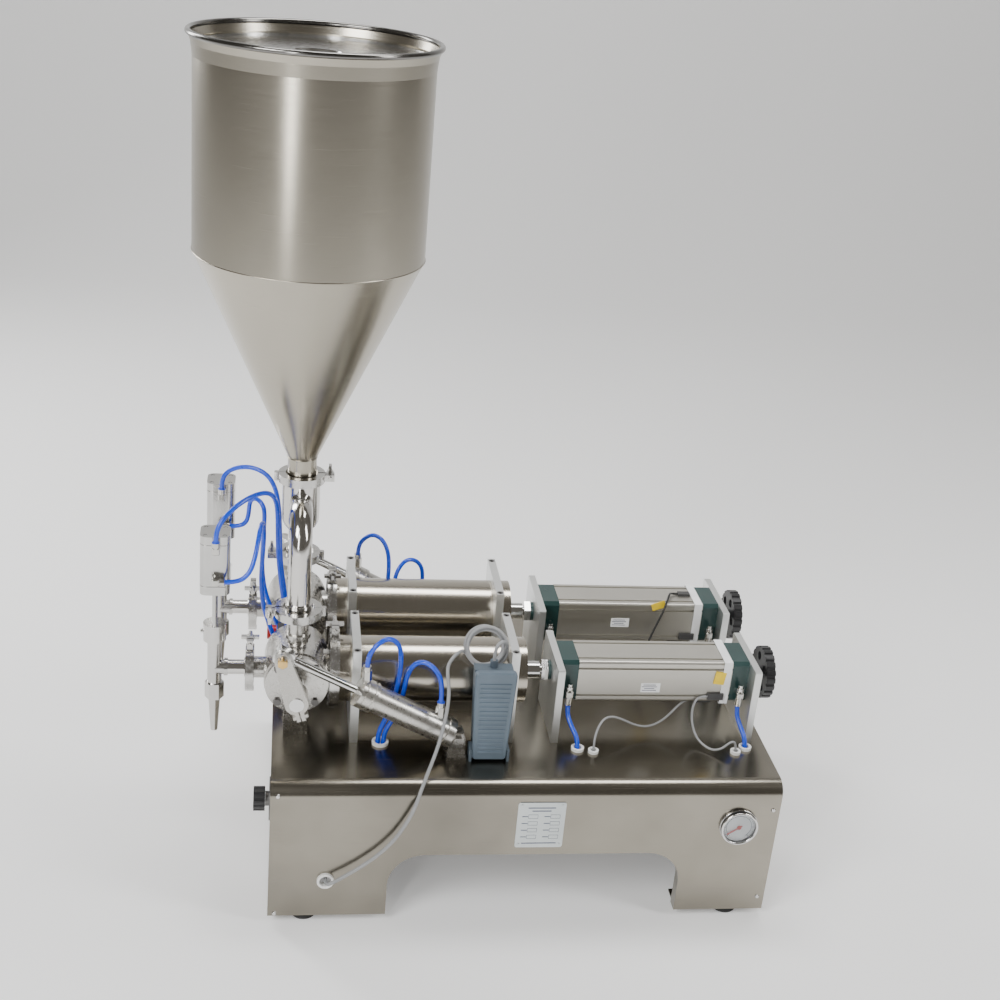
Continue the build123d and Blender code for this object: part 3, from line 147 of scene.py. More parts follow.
@dataclass(frozen=True)
class Metal:
    """Bare metal with a directional grain, cloudy tone and handling marks."""

    name: str
    colour: Point
    roughness: float
    grain: Grain = Grain.EVEN
    spread: float = 0.06
    depth: float = 0.00012
    clouding: float = 0.86
    clouds_per_metre: float = 7.0

    def material(self) -> bpy.types.Material:
        """Make the finish's material."""
        shader = Shader(self.name)
        shader.set(Metallic=1.0)
        clouds = shader.noise((self.clouds_per_metre,) * 3, 4.0)
        dark = tuple(c * self.clouding for c in self.colour)
        shader.blend(clouds, dark, self.colour, 0.35, 0.65)
        scratches = shader.noise(self.grain.value, 4.0, 0.65)
        shader.vary_roughness(scratches, self.roughness - self.spread, self.roughness + self.spread)
        shader.raise_pattern(scratches, 0.35, self.depth)
        return shader.material


@dataclass(frozen=True)
class Moulded:
    """Moulded plastic, rubber or sprayed paint with a fine surface grain."""

    name: str
    colour: Point
    roughness: float
    grain_per_metre: float = 900.0
    depth: float = 0.0002
    coat: float = 0.0

    def material(self) -> bpy.types.Material:
        """Make the finish's material."""
        shader = Shader(self.name)
        shader.set(Coat_Weight=self.coat, Coat_Roughness=0.12)
        worn = shader.noise((25.0, 25.0, 25.0), 5.0)
        light = tuple(min(1.0, c * 1.18 + 0.004) for c in self.colour)
        shader.blend(worn, self.colour, light, 0.35, 0.7)
        grain = shader.noise((self.grain_per_metre,) * 3, 2.0)
        shader.vary_roughness(worn, self.roughness - 0.05, self.roughness + 0.07)
        shader.raise_pattern(grain, 0.3, self.depth)
        return shader.material


@dataclass(frozen=True)
class Clear:
    """Clear glass or plastic window."""

    name: str
    tint: Point

    def material(self) -> bpy.types.Material:
        """Make the finish's material."""
        shader = Shader(self.name)
        shader.set(Transmission_Weight=1.0, IOR=1.45, Base_Color=(*self.tint, 1.0))
        shader.vary_roughness(shader.noise((60.0, 60.0, 60.0)), 0.0, 0.04)
        return shader.material


FINISHES = {
    "base_steel": Metal("satin_sheet_steel", (0.34, 0.315, 0.265), 0.23, Grain.ALONG_X, 0.05, 0.00002, 0.62, 2.6),
    "rubber": Moulded("foot_rubber", (0.02, 0.02, 0.02), 0.7, 500.0, 0.0004),
    "white_plastic": Moulded("white_grommet", (0.78, 0.78, 0.76), 0.4),
    "nameplate": Metal("anodised_plate", (0.62, 0.66, 0.66), 0.34, Grain.ALONG_X, 0.04, 0.00002),
    "black_plastic": Moulded("black_moulding", (0.012, 0.012, 0.013), 0.38, 700.0, 0.0003, 0.1),
    "red_plastic": Moulded("red_moulding", (0.55, 0.02, 0.012), 0.3, 500.0, 0.0001, 0.4),
    "dark_metal": Metal("blackened_steel", (0.2, 0.195, 0.19), 0.38, Grain.EVEN, 0.08),
    "plate_aluminium": Metal("milled_plate", (0.8, 0.81, 0.8), 0.42, Grain.ALONG_Z, 0.05, 0.00003, 0.94),
    "profile_aluminium": Metal("anodised_profile", (0.64, 0.62, 0.565), 0.4, Grain.ALONG_X, 0.04, 0.00002, 0.94),
    "green_paint": Moulded("dark_green_enamel", (0.008, 0.035, 0.033), 0.32, 400.0, 0.0002, 0.3),
    "polished_steel": Metal("machined_steel", (0.6, 0.585, 0.555), 0.25, Grain.EVEN, 0.07, 0.00006, 0.88),
    "clamp_steel": Metal("cast_clamp_steel", (0.62, 0.61, 0.59), 0.22, Grain.EVEN, 0.08, 0.0003, 0.85),
    "pipe_steel": Metal("sanitary_tube", (0.66, 0.645, 0.62), 0.13, Grain.EVEN, 0.04, 0.00003, 0.9),
    "hopper_steel": Metal("rolled_sheet_steel", (0.43, 0.40, 0.335), 0.24, Grain.AROUND_Z, 0.035, 0.000012, 0.86, 3.0),
    "lid_steel": Metal("lid_sheet_steel", (0.56, 0.555, 0.54), 0.2, Grain.EVEN, 0.06, 0.00005, 0.85),
    "pedal_grey": Moulded("pedal_body", (0.075, 0.1, 0.125), 0.48, 350.0, 0.0004),
    "pedal_ribbed": Moulded("pedal_tread", (0.1, 0.135, 0.17), 0.42, 350.0, 0.0003),
    "fitting_metal": Metal("nickel_fitting", (0.6, 0.59, 0.56), 0.2, Grain.EVEN, 0.06),
    "switch_plastic": Moulded("switch_moulding", (0.045, 0.045, 0.045), 0.4),
    "tube_steel": Metal("turned_tube_steel", (0.50, 0.465, 0.40), 0.2, Grain.AROUND_X, 0.03, 0.000012, 0.92),
    "tube_aluminium": Metal("anodised_tube", (0.6, 0.585, 0.55), 0.3, Grain.EVEN, 0.06, 0.00005, 0.9),
    "nozzle_steel": Metal("nozzle_steel", (0.6, 0.59, 0.57), 0.17, Grain.EVEN, 0.05, 0.00004, 0.88),
    "nozzle_aluminium": Metal("nozzle_cylinder_metal", (0.58, 0.575, 0.56), 0.2, Grain.ALONG_Z, 0.04, 0.00002),
    "rod_steel": Metal("hard_chrome", (0.7, 0.7, 0.69), 0.1, Grain.AROUND_X, 0.03, 0.00001, 0.95),
    "crank_steel": Metal("crank_bar_steel", (0.55, 0.535, 0.5), 0.3, Grain.EVEN, 0.08, 0.0001, 0.85),
    "blue_tube": Moulded("blue_polyurethane", (0.004, 0.06, 0.62), 0.24, 300.0, 0.00005, 0.35),
    "grey_cable": Moulded("grey_pvc", (0.27, 0.275, 0.28), 0.45, 500.0, 0.0001),
    "black_cable": Moulded("black_pvc", (0.012, 0.012, 0.012), 0.42, 500.0, 0.0001),
    # Rolled rim edge: steel darkened as a painted dark reflection, not a darker finish of its own.
    "rim_painted_dark_reflection": Metal("rolled_rim_painted_reflection", (0.2, 0.195, 0.185), 0.18, Grain.EVEN, 0.05),
    "brass": Metal("brass_bolt", (0.78, 0.52, 0.2), 0.24, Grain.EVEN, 0.06),
    "yellow_tag": Moulded("yellow_tag", (0.85, 0.6, 0.02), 0.5),
    "white_label": Moulded("white_label", (0.82, 0.83, 0.84), 0.45),
    "ink": Moulded("dark_ink", (0.02, 0.03, 0.09), 0.5),
    "dial": Moulded("dial_face", (0.86, 0.87, 0.87), 0.45),
    "window": Clear("gauge_window", (0.95, 0.97, 0.98)),
    "seal": Moulded("white_seal", (0.75, 0.74, 0.71), 0.5),
    "bright_steel": Metal("bright_button_steel", (0.72, 0.71, 0.7), 0.16, Grain.EVEN, 0.05),
}
MATERIALS = {slot: finish.material() for slot, finish in FINISHES.items()}


@dataclass
class Piece:
    """A new mesh piece under construction, in row coordinates."""

    name: str
    finish: str
    slot: str
    body: str = "machine"
    bm: bmesh.types.BMesh = field(default_factory=bmesh.new)

    def disc(self, radius: float, start: Point, end: Point, segments: int = 40, tip: float | None = None) -> None:
        """Add a round bar between two points.

        Args:
            radius: Radius at the start.
            start: Centre of one end.
            end: Centre of the other end.
            segments: Sides of the circle.
            tip: Radius at the other end, the same if left out.
        """
        first, last = Vector(start), Vector(end)
        axis = last - first
        place = Matrix.Translation((first + last) / 2) @ axis.to_track_quat("Z", "Y").to_matrix().to_4x4()
        bmesh.ops.create_cone(self.bm, cap_ends=True, cap_tris=False, segments=segments, radius1=radius,
                              radius2=radius if tip is None else tip, depth=axis.length, matrix=place)

    def slab(self, centre: Point, size: Point, turn: Matrix | None = None) -> None:
        """Add a box.

        Args:
            centre: Its middle.
            size: Its full lengths along X, Y and Z.
            turn: A turn about its middle.
        """
        place = Matrix.Translation(centre) @ (turn or Matrix()) @ Matrix.Diagonal((*size, 1.0))
        bmesh.ops.create_cube(self.bm, size=1.0, matrix=place)

    def ring(self, centre: Point, axis: Point, radius: float, thickness: float, steps: int = 96) -> None:
        """Add a round-section ring.

        Args:
            centre: Its middle.
            axis: The direction it faces.
            radius: Radius of its centre line.
            thickness: Radius of its section.
            steps: Steps round the ring.
        """
        face = Matrix.Translation(centre) @ Vector(axis).to_track_quat("Z", "Y").to_matrix().to_4x4()
        section = face @ Matrix.Translation((radius, 0, 0)) @ Matrix.Rotation(radians(90), 4, "X")
        made = bmesh.ops.create_circle(self.bm, cap_ends=False, segments=14, radius=thickness, matrix=section)
        edges = list({e for v in made["verts"] for e in v.link_edges})
        bmesh.ops.spin(self.bm, geom=made["verts"] + edges, cent=centre, axis=Vector(axis).normalized(),
                       angle=2 * pi, steps=steps, use_merge=True)

    def soften(self, width: float, segments: int = 3) -> None:
        """Round every edge sharper than about 30 degrees."""
        sharp = [e for e in self.bm.edges if len(e.link_faces) == 2 and e.calc_face_angle(0.0) > 0.5]
        bmesh.ops.bevel(self.bm, geom=sharp, offset=width, offset_type="OFFSET", segments=segments, profile=0.5,
                        affect="EDGES", material=-1, clamp_overlap=True)

    def finish_piece(self) -> bpy.types.Object:
        """Turn the bmesh into an object that rides on its body."""
        bmesh.ops.remove_doubles(self.bm, verts=self.bm.verts, dist=1e-6)
        bmesh.ops.recalc_face_normals(self.bm, faces=self.bm.faces)
        mesh = bpy.data.meshes.new(self.name)
        self.bm.to_mesh(mesh)
        self.bm.free()
        mesh.shade_smooth()
        mesh.set_sharp_from_angle(angle=radians(32))
        made = bpy.data.objects.new(self.name, mesh)
        bpy.context.collection.objects.link(made)
        mesh.materials.append(MATERIALS[self.finish])
        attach(made, self.body)
        LOG.info("made %s", self.name)
        return made


@dataclass
class Studio:
    """Floor with a swept-up backdrop, soft lights and the camera."""

    eye: Point = (-0.3607, -2.2798, 1.6537)
    yaw: float = 9.368
    pitch: float = -23.625
    roll: float = 5.316
    lens: float = 53.1
    half_width: float = 9.0
    sweep_radius: float = 1.6
    depth_behind: float = 3.4

    def build(self) -> None:
        """Make the camera, the backdrop and the lights."""
        self.camera()
        self.backdrop()
        self.lights()
        LOG.info("studio ready")

    def camera(self) -> None:
        """Set the camera at its eye point, turned and rolled."""
        yaw, pitch, roll = radians(self.yaw), radians(self.pitch), radians(self.roll)
        ahead = Vector((sin(yaw) * cos(pitch), cos(yaw) * cos(pitch), sin(pitch)))
        right = Vector((cos(yaw), -sin(yaw), 0.0))
        above = right.cross(ahead)
        side = right * cos(roll) + above * sin(roll)
        top = above * cos(roll) - right * sin(roll)
        lens = bpy.data.cameras.new("camera")
        lens.lens, lens.sensor_width, lens.clip_end = self.lens, 36.0, 100.0
        camera = bpy.data.objects.new("camera", lens)
        bpy.context.collection.objects.link(camera)
        turn = Matrix((side, top, -ahead)).transposed().to_4x4()
        camera.matrix_world = Matrix.Translation(self.eye) @ turn
        bpy.context.scene.camera = camera

    def backdrop(self) -> None:
        """Sweep one pale sheet from the floor up behind the machine."""
        bm = bmesh.new()
        w, r, y = self.half_width, self.sweep_radius, self.depth_behind
        start = bm.edges.new((bm.verts.new((-w, -9.0, 0.0)), bm.verts.new((w, -9.0, 0.0))))
        out = bmesh.ops.extrude_edge_only(bm, edges=[start])["geom"]
        verts = [g for g in out if isinstance(g, bmesh.types.BMVert)]
        bmesh.ops.translate(bm, vec=(0, 9.0 + y, 0), verts=verts)
        geom = [g for g in out if not isinstance(g, bmesh.types.BMFace)]
        arc = bmesh.ops.spin(bm, geom=geom, cent=(0, y, r), axis=(1, 0, 0), angle=radians(90), steps=24,
                             use_duplicate=False)["geom_last"]
        top = [g for g in arc if isinstance(g, bmesh.types.BMEdge)]
        wall = bmesh.ops.extrude_edge_only(bm, edges=top)["geom"]
        bmesh.ops.translate(bm, vec=(0, 0, 6.0), verts=[g for g in wall if isinstance(g, bmesh.types.BMVert)])
        mesh = bpy.data.meshes.new("backdrop")
        bm.to_mesh(mesh)
        bm.free()
        mesh.shade_smooth()
        sheet = bpy.data.objects.new("backdrop", mesh)
        bpy.context.collection.objects.link(sheet)
        paint = Shader("backdrop_paper")
        paint.set(Base_Color=(0.9, 0.9, 0.9, 1.0), Roughness=0.85, Emission_Color=(1.0, 1.0, 1.0, 1.0),
                  Emission_Strength=0.22)
        mesh.materials.append(paint.material)

    def lights(self) -> None:
        """Three soft boxes and a dim grey surround that gives metal something dark to mirror."""
        world = bpy.data.worlds.new("surround")
        bpy.context.scene.world = world
        world.use_nodes = True
        world.node_tree.nodes["Background"].inputs["Color"].default_value = (0.30, 0.28, 0.25, 1.0)
        world.node_tree.nodes["Background"].inputs["Strength"].default_value = 0.5
        for name, place, size, watts in (
            ("key", (-2.6, -2.4, 3.0), (1.4, 1.6), 105.0),
            ("strip", (-1.35, -2.7, 1.5), (0.3, 2.0), 26.0),
            ("fill", (3.0, -1.6, 2.4), (0.8, 2.2), 60.0),
            ("top", (0.2, 0.6, 3.6), (2.6, 0.9), 85.0),
            ("edge", (-2.2, 2.0, 1.9), (0.7, 1.8), 50.0),
        ):
            light = bpy.data.lights.new(name, "AREA")
            light.shape, light.size, light.size_y, light.energy = "RECTANGLE", size[0], size[1], watts
            lamp = bpy.data.objects.new(name, light)
            bpy.context.collection.objects.link(lamp)
            aim = Vector((0.0, 0.0, 0.6)) - Vector(place)
            lamp.matrix_world = Matrix.Translation(place) @ aim.to_track_quat("-Z", "Y").to_matrix().to_4x4()


@dataclass(frozen=True)
class Cord:
    """One tube or lead: its route behind the base's front end, its size and what it stands for."""

    name: str
    nodes: tuple[str, ...]
    slot: str
    diameter: float
    length: float
    route: tuple[Point, ...]
    stiffness: str = "medium"
    mirror: float = 1.0

    def build(self) -> None:
        curve = bpy.data.curves.new(self.name, "CURVE")
        curve.dimensions, curve.resolution_u = "3D", 8
        curve.bevel_depth, curve.bevel_resolution, curve.use_fill_caps = self.diameter / 2, 5, True
        spline = curve.splines.new("NURBS")
        spline.points.add(len(self.route) - 1)
        for control, (x, y, z) in zip(spline.points, self.route):
            control.co = (FRONT + x, self.mirror * y, z, 1.0)
        spline.order_u = 3
        spline.use_endpoint_u = True
        made = bpy.data.objects.new(self.name, curve)
        bpy.context.collection.objects.link(made)
        curve.materials.append(MATERIALS[self.slot])
        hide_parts(*self.nodes)
        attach(made, "machine")
        LOG.info("laid %s", self.name)


VALVE_FRONT = (
    (0.14996, -0.205, 0.4301), (0.14996, -0.205, 0.452), (0.162, -0.203, 0.470), (0.178, -0.196, 0.480),
    (0.195, -0.187, 0.472), (0.205, -0.179, 0.450), (0.207, -0.173, 0.422), (0.206, -0.172, 0.394),
    (0.202, -0.172, 0.366), (0.195, -0.1725, 0.338), (0.186, -0.175, 0.311), (0.1754, -0.180, 0.290),
    (0.1754, -0.180, 0.258))
VALVE_REAR = (
    (0.27436, -0.205, 0.3665), (0.27436, -0.205, 0.392), (0.270, -0.202, 0.414), (0.256, -0.195, 0.430),
    (0.238, -0.186, 0.433), (0.224, -0.178, 0.417), (0.218, -0.173, 0.393), (0.215, -0.1715, 0.365),
    (0.209, -0.1715, 0.338), (0.199, -0.174, 0.312), (0.1846, -0.180, 0.290), (0.1846, -0.180, 0.258))
NOZZLE_UPPER = (
    (-0.096, -0.140, 0.618), (-0.096, -0.140, 0.637), (-0.084, -0.131, 0.658), (-0.062, -0.113, 0.674),
    (-0.036, -0.089, 0.681), (-0.014, -0.066, 0.675), (-0.003, -0.048, 0.653), (0.0, -0.036, 0.620),
    (0.001, -0.029, 0.580), (0.003, -0.026, 0.537), (0.008, -0.0254, 0.493), (0.015, -0.0254, 0.449),
    (0.021, -0.0254, 0.405), (0.024, -0.0254, 0.360), (0.025, -0.0254, 0.315), (0.025, -0.0254, 0.258))
NOZZLE_LOWER = (
    (-0.082, -0.140, 0.548), (-0.060, -0.140, 0.548), (-0.042, -0.135, 0.562), (-0.034, -0.124, 0.586),
    (-0.030, -0.106, 0.608), (-0.027, -0.085, 0.622), (-0.024, -0.063, 0.620), (-0.022, -0.047, 0.601),
    (-0.022, -0.039, 0.572), (-0.024, -0.036, 0.534), (-0.025, -0.035, 0.494), (-0.021, -0.0346, 0.452),
    (-0.009, -0.0346, 0.411), (0.006, -0.0346, 0.371), (0.018, -0.0346, 0.334), (0.025, -0.0346, 0.300),
    (0.025, -0.0346, 0.258))
NOZZLE_UPPER_FAR = (
    (-0.096, 0.072, 0.618), (-0.096, 0.072, 0.635), (-0.087, 0.070, 0.652), (-0.067, 0.065, 0.663),
    (-0.042, 0.055, 0.667), (-0.018, 0.043, 0.659), (-0.004, 0.034, 0.637), (0.002, 0.0295, 0.604),
    (0.004, 0.027, 0.570), (0.005, 0.0254, 0.534), (0.008, 0.0254, 0.493), (0.015, 0.0254, 0.449),
    (0.021, 0.0254, 0.405), (0.024, 0.0254, 0.360), (0.025, 0.0254, 0.315), (0.025, 0.0254, 0.258))
NOZZLE_LOWER_FAR = (
    (-0.082, 0.072, 0.548), (-0.066, 0.072, 0.548), (-0.054, 0.071, 0.556), (-0.050, 0.069, 0.571),
    (-0.049, 0.066, 0.588), (-0.0472, 0.064, 0.6001), (-0.0422, 0.0585, 0.6075), (-0.0355, 0.051, 0.6102),
    (-0.0288, 0.0435, 0.6075), (-0.0238, 0.038, 0.6001), (-0.0223, 0.0362, 0.588), (-0.0225, 0.036, 0.572),
    (-0.024, 0.036, 0.534), (-0.025, 0.035, 0.494), (-0.021, 0.0346, 0.452), (-0.009, 0.0346, 0.411),
    (0.006, 0.0346, 0.371), (0.018, 0.0346, 0.334), (0.025, 0.0346, 0.300), (0.025, 0.0346, 0.258))
AIR_FRONT = (
    (0.499, -0.157, 0.335), (0.499, -0.157, 0.317), (0.505, -0.174, 0.302), (0.513, -0.190, 0.291),
    (0.515, -0.198, 0.274), (0.515, -0.198, 0.258))
AIR_REAR = (
    (0.800, -0.157, 0.335), (0.800, -0.157, 0.317), (0.805, -0.172, 0.302), (0.810, -0.186, 0.291),
    (0.812, -0.194, 0.274), (0.812, -0.194, 0.258))
SWITCH_REAR = (
    (0.746, -0.1475, 0.346), (0.733, -0.1475, 0.346), (0.723, -0.151, 0.336), (0.719, -0.158, 0.318),
    (0.721, -0.168, 0.298), (0.727, -0.181, 0.283), (0.737, -0.197, 0.277), (0.750, -0.210, 0.276),
    (0.764, -0.215, 0.283), (0.776, -0.213, 0.294), (0.786, -0.2095, 0.294), (0.791, -0.208, 0.281),
    (0.791, -0.208, 0.258))
SWITCH_FRONT = (
    (0.728, -0.132, 0.3305), (0.714, -0.132, 0.3305), (0.699, -0.136, 0.319), (0.684, -0.142, 0.304),
    (0.666, -0.148, 0.292), (0.645, -0.152, 0.286), (0.622, -0.154, 0.291), (0.600, -0.156, 0.303),
    (0.580, -0.161, 0.313), (0.563, -0.170, 0.315), (0.551, -0.184, 0.308), (0.543, -0.198, 0.296),
    (0.541, -0.206, 0.280), (0.541, -0.206, 0.258))
BLACK_LEAD = (
    (0.670, 0.030, 0.258), (0.670, 0.030, 0.284), (0.673, 0.036, 0.308), (0.680, 0.043, 0.332),
    (0.689, 0.049, 0.357), (0.699, 0.053, 0.382), (0.708, 0.057, 0.404), (0.715, 0.066, 0.420),
    (0.722, 0.082, 0.424), (0.728, 0.097, 0.419), (0.735, 0.106, 0.4136), (0.745, 0.106, 0.4136))
PEDAL_RISE = (
    (0.358, -0.196, 0.442), (0.358, -0.196, 0.457), (0.362, -0.195, 0.471), (0.371, -0.190, 0.474),
    (0.379, -0.182, 0.466), (0.3825, -0.171, 0.454))
PEDAL_DROP = (
    (0.312, -0.1535, 0.436), (0.302, -0.157, 0.433), (0.291, -0.166, 0.424), (0.284, -0.182, 0.422),
    (0.282, -0.200, 0.416), (0.284, -0.217, 0.402), (0.283, -0.231, 0.380), (0.278, -0.243, 0.353),
    (0.271, -0.256, 0.326), (0.261, -0.273, 0.303), (0.250, -0.292, 0.285), (0.240, -0.308, 0.264),
    (0.231, -0.317, 0.237), (0.218, -0.319, 0.206), (0.200, -0.3195, 0.174), (0.176, -0.3195, 0.146),
    (0.148, -0.3195, 0.122), (0.122, -0.320, 0.104), (0.106, -0.321, 0.094), (0.093, -0.321, 0.087),
    (0.093, -0.296, 0.087))


@dataclass(frozen=True)
class Coil:
    """Tied turns of the pedal lead, between its rise from the pedal and its drop to the base."""

    centre: Point = (0.349, -0.148, 0.443)
    lean: float = 25.0
    radii: tuple[float, ...] = (0.0330, 0.0345, 0.0315, 0.0335, 0.0320)
    sway: float = 0.0030
    first: float = -14.0
    last: float = -1595.0
    per_turn: int = 14
    depth: float = 0.0062

    def points(self) -> tuple[Point, ...]:
        """Control points of the turns, from the front of the coil to its back and out again.

        Returns:
            Points behind the base's front end, in metres.
        """
        outward = Vector((0.0, -cos(radians(self.lean)), sin(radians(self.lean))))
        across = Vector((1.0, 0.0, 0.0))
        upward = across.cross(outward) * -1.0
        count = round((self.first - self.last) / 360 * self.per_turn)
        made = []
        for i in range(count + 1):
            share = i / count
            angle = radians(self.first + (self.last - self.first) * share)
            turn = -(self.last - self.first) * share / 360
            low = int(turn) % len(self.radii)
            mix = turn - int(turn)
            radius = self.radii[low] * (1 - mix) + self.radii[(low + 1) % len(self.radii)] * mix
            offset = self.depth * (1 - 2 * share) + 0.0014 * sin(2.3 * turn + 1.0)
            aside, over = self.sway * sin(1.7 * turn), self.sway * cos(2.1 * turn) - self.sway
            spot = Vector(self.centre) + across * (radius * cos(angle) + aside) + upward * (radius * sin(angle) + over)
            made.append(tuple(spot + outward * offset))
        return tuple(made)


def lay_cords() -> None:
    """Make every tube and lead."""
    for letter, side in SIDES:
        for kind, length, route in (("valve_tube_front", 0.289, VALVE_FRONT), ("valve_tube_rear", 0.266, VALVE_REAR)):
            Cord(f"{kind}_run_{letter}", (f"{kind}_{letter}",), "blue_tube", 0.008, length, route,
                 mirror=-side).build()
    for node, length, route in (("nozzle_tube_upper_a", 0.560, NOZZLE_UPPER),
                                ("nozzle_tube_lower_a", 0.510, NOZZLE_LOWER),
                                ("nozzle_tube_upper_b", 0.510, NOZZLE_UPPER_FAR),
                                ("nozzle_tube_lower_b", 0.455, NOZZLE_LOWER_FAR)):
        Cord(f"{node}_run", (node,), "blue_tube", 0.008, length, route).build()
    Cord("air_tube_front_run", ("air_tube_front_a",), "blue_tube", 0.008, 0.094, AIR_FRONT).build()
    Cord("air_tube_rear_run", ("air_tube_rear_a",), "blue_tube", 0.008, 0.090, AIR_REAR).build()
    Cord("switch_lead_rear_run", ("switch_lead_rear",), "grey_cable", 0.004, 0.198, SWITCH_REAR, "limp").build()
    Cord("switch_lead_front_run", ("switch_lead_front",), "grey_cable", 0.004, 0.262, SWITCH_FRONT, "limp").build()
    Cord("black_lead_run", ("black_lead",), "black_cable", 0.004, 0.222, BLACK_LEAD, "limp").build()
    Cord("pedal_lead_run", ("pedal_lead_top", "pedal_lead_coil", "pedal_lead_drop"), "grey_cable", 0.006, 1.52,
         PEDAL_RISE + Coil().points() + PEDAL_DROP, "limp").build()


def dress_nodes() -> None:
    """Give every CAD node the finish of its slot."""
    for part in frame["record"]["subparts"]:
        node = NODES[part["node"]]
        for place in node.material_slots:
            place.material = MATERIALS[part["material_slot"]]


@dataclass
class HopperDress:
    """Rolled rim edge and weld beads of the hopper."""

    rim_radius: float = 0.187
    rim_z: float = 1.381
    barrel_radius: float = 0.181
    joint_z: float = 1.059
    neck_z: float = 0.713
    bead: float = 0.0010

    def build(self) -> None:
        """Make the rolled edge, coloured dark as a painted dark reflection, and the ground weld beads."""
        # The rim's dark steel colour is a painted dark reflection.
        rim = Piece("hopper_rolled_edge", "rim_painted_dark_reflection", "hopper_steel")
        rim.ring((VALVE_X, 0, self.rim_z), (0, 0, 1), self.rim_radius, 0.0044, 128)
        rim.finish_piece()
        welds = Piece("hopper_welds", "hopper_steel", "hopper_steel")
        welds.ring((VALVE_X, 0, self.joint_z), (0, 0, 1), self.barrel_radius, self.bead, 128)
        welds.ring((VALVE_X, 0, self.neck_z), (0, 0, 1), 0.0242, self.bead, 64)
        welds.finish_piece()


@dataclass
class PedalDress:
    """Ribbed rubber face on the foot switch's treadle."""

    centre_x: float = FRONT + 0.358
    face_y: float = -0.236
    low_z: float = 0.289
    ribs: int = 16
    pitch: float = 0.0086
    rib_height: float = 0.0045
    proud: float = 0.0016
    low_half: float = 0.0285
    flare: float = 0.042
    margin: float = 0.0085

    def build(self) -> None:
        """Make the ribs of the treadle, kept a margin inside its edges."""
        ribs = Piece("pedal_ribs", "pedal_ribbed", "pedal_ribbed", "pedal_treadle")
        for i in range(self.ribs):
            z = self.low_z + i * self.pitch
            half = self.low_half + self.flare * (z - 0.274) - self.margin
            ribs.slab((self.centre_x, self.face_y, z), (2 * half, 2 * self.proud, self.rib_height))
        ribs.soften(0.0009, 2)
        ribs.finish_piece()


@dataclass
class GaugeDress:
    """Dial, scale, window and chromed bezel of the pressure gauge."""

    x: float = FRONT + 0.782
    z: float = 0.189
    floor_y: float = NEAR - 0.002
    rim_y: float = NEAR - 0.008
    dial_radius: float = 0.0278
    ticks: int = 31

    def build(self) -> None:
        """Make the gauge's pieces."""
        x, z = self.x, self.z
        dial = Piece("gauge_dial", "dial", "white_plastic")
        dial.disc(self.dial_radius, (x, self.floor_y, z), (x, self.floor_y - 0.0005, z), 64)
        dial.finish_piece()
        scale = Piece("gauge_scale", "ink", "black_plastic")
        level = self.floor_y - 0.0006
        for i in range(self.ticks):
            angle = radians(225 - 270 * i / (self.ticks - 1))
            long = i % 5 == 0
            reach = 0.0245 if long else 0.0255
            spot = (x + reach * cos(angle), level, z + reach * sin(angle))
            scale.slab(spot, (0.0042 if long else 0.0022, 0.0002, 0.0009 if long else 0.0005),
                       Matrix.Rotation(-angle, 4, "Y"))
        for i in range(26):
            angle = radians(225 - 270 * i / 25)
            spot = (x + 0.0218 * cos(angle), level, z + 0.0218 * sin(angle))
            scale.slab(spot, (0.0006, 0.0002, 0.0046), Matrix.Rotation(-angle, 4, "Y"))
        scale.finish_piece()
        bezel = Piece("gauge_bezel", "bright_steel", "clamp_steel")
        bezel.ring((x, self.rim_y, z), (0, 1, 0), 0.030, 0.0022)
        bezel.ring((x, NEAR - 0.001, z), (0, 1, 0), 0.0318, 0.0012)
        bezel.finish_piece()
        window = Piece("gauge_window", "window", "white_plastic")
        window.disc(0.0281, (x, self.rim_y + 0.0010, z), (x, self.rim_y + 0.0002, z), 64)
        window.finish_piece()


@dataclass
class PlateDress:
    """Ruled print of the data plate and the button screws of the base's near side."""

    left: float = FRONT + 0.402
    right: float = FRONT + 0.482
    low: float = 0.150
    high: float = 0.239
    screws: tuple[tuple[float, float], ...] = ((0.011, 0.020), (0.012, 0.252), (0.838, 0.221), (0.838, 0.041))

    def build(self) -> None:
        """Make the print and the screws."""
        y = NEAR - 0.00125
        ink = Piece("plate_print", "ink", "dark_metal")
        middle = (self.left + self.right) / 2
        for z, width in ((0.2285, 0.046), (0.2225, 0.032), (0.1585, 0.058)):
            ink.slab((middle, y, z), (width, 0.0002, 0.0018))
        for row in range(4):
            z = 0.2115 - row * 0.0135
            for column in (-1, 1):
                x = middle + column * 0.0185
                ink.slab((x - 0.0085, y, z), (0.010, 0.0002, 0.0014))
                for dx, dz, wide, tall in ((0.005, 0.0035, 0.0155, 0.0005), (0.005, -0.0035, 0.0155, 0.0005),
                                           (-0.0028, 0, 0.0005, 0.0075), (0.0128, 0, 0.0005, 0.0075)):
                    ink.slab((x + dx, y, z + dz), (wide, 0.0002, tall))
        ink.finish_piece()
        screws = Piece("base_screws", "bright_steel", "polished_steel")
        for x, z in self.screws:
            screws.disc(0.0045, (FRONT + x, NEAR + 0.001, z), (FRONT + x, NEAR - 0.0022, z), 24, 0.0028)
        screws.soften(0.0005, 2)
        screws.finish_piece()


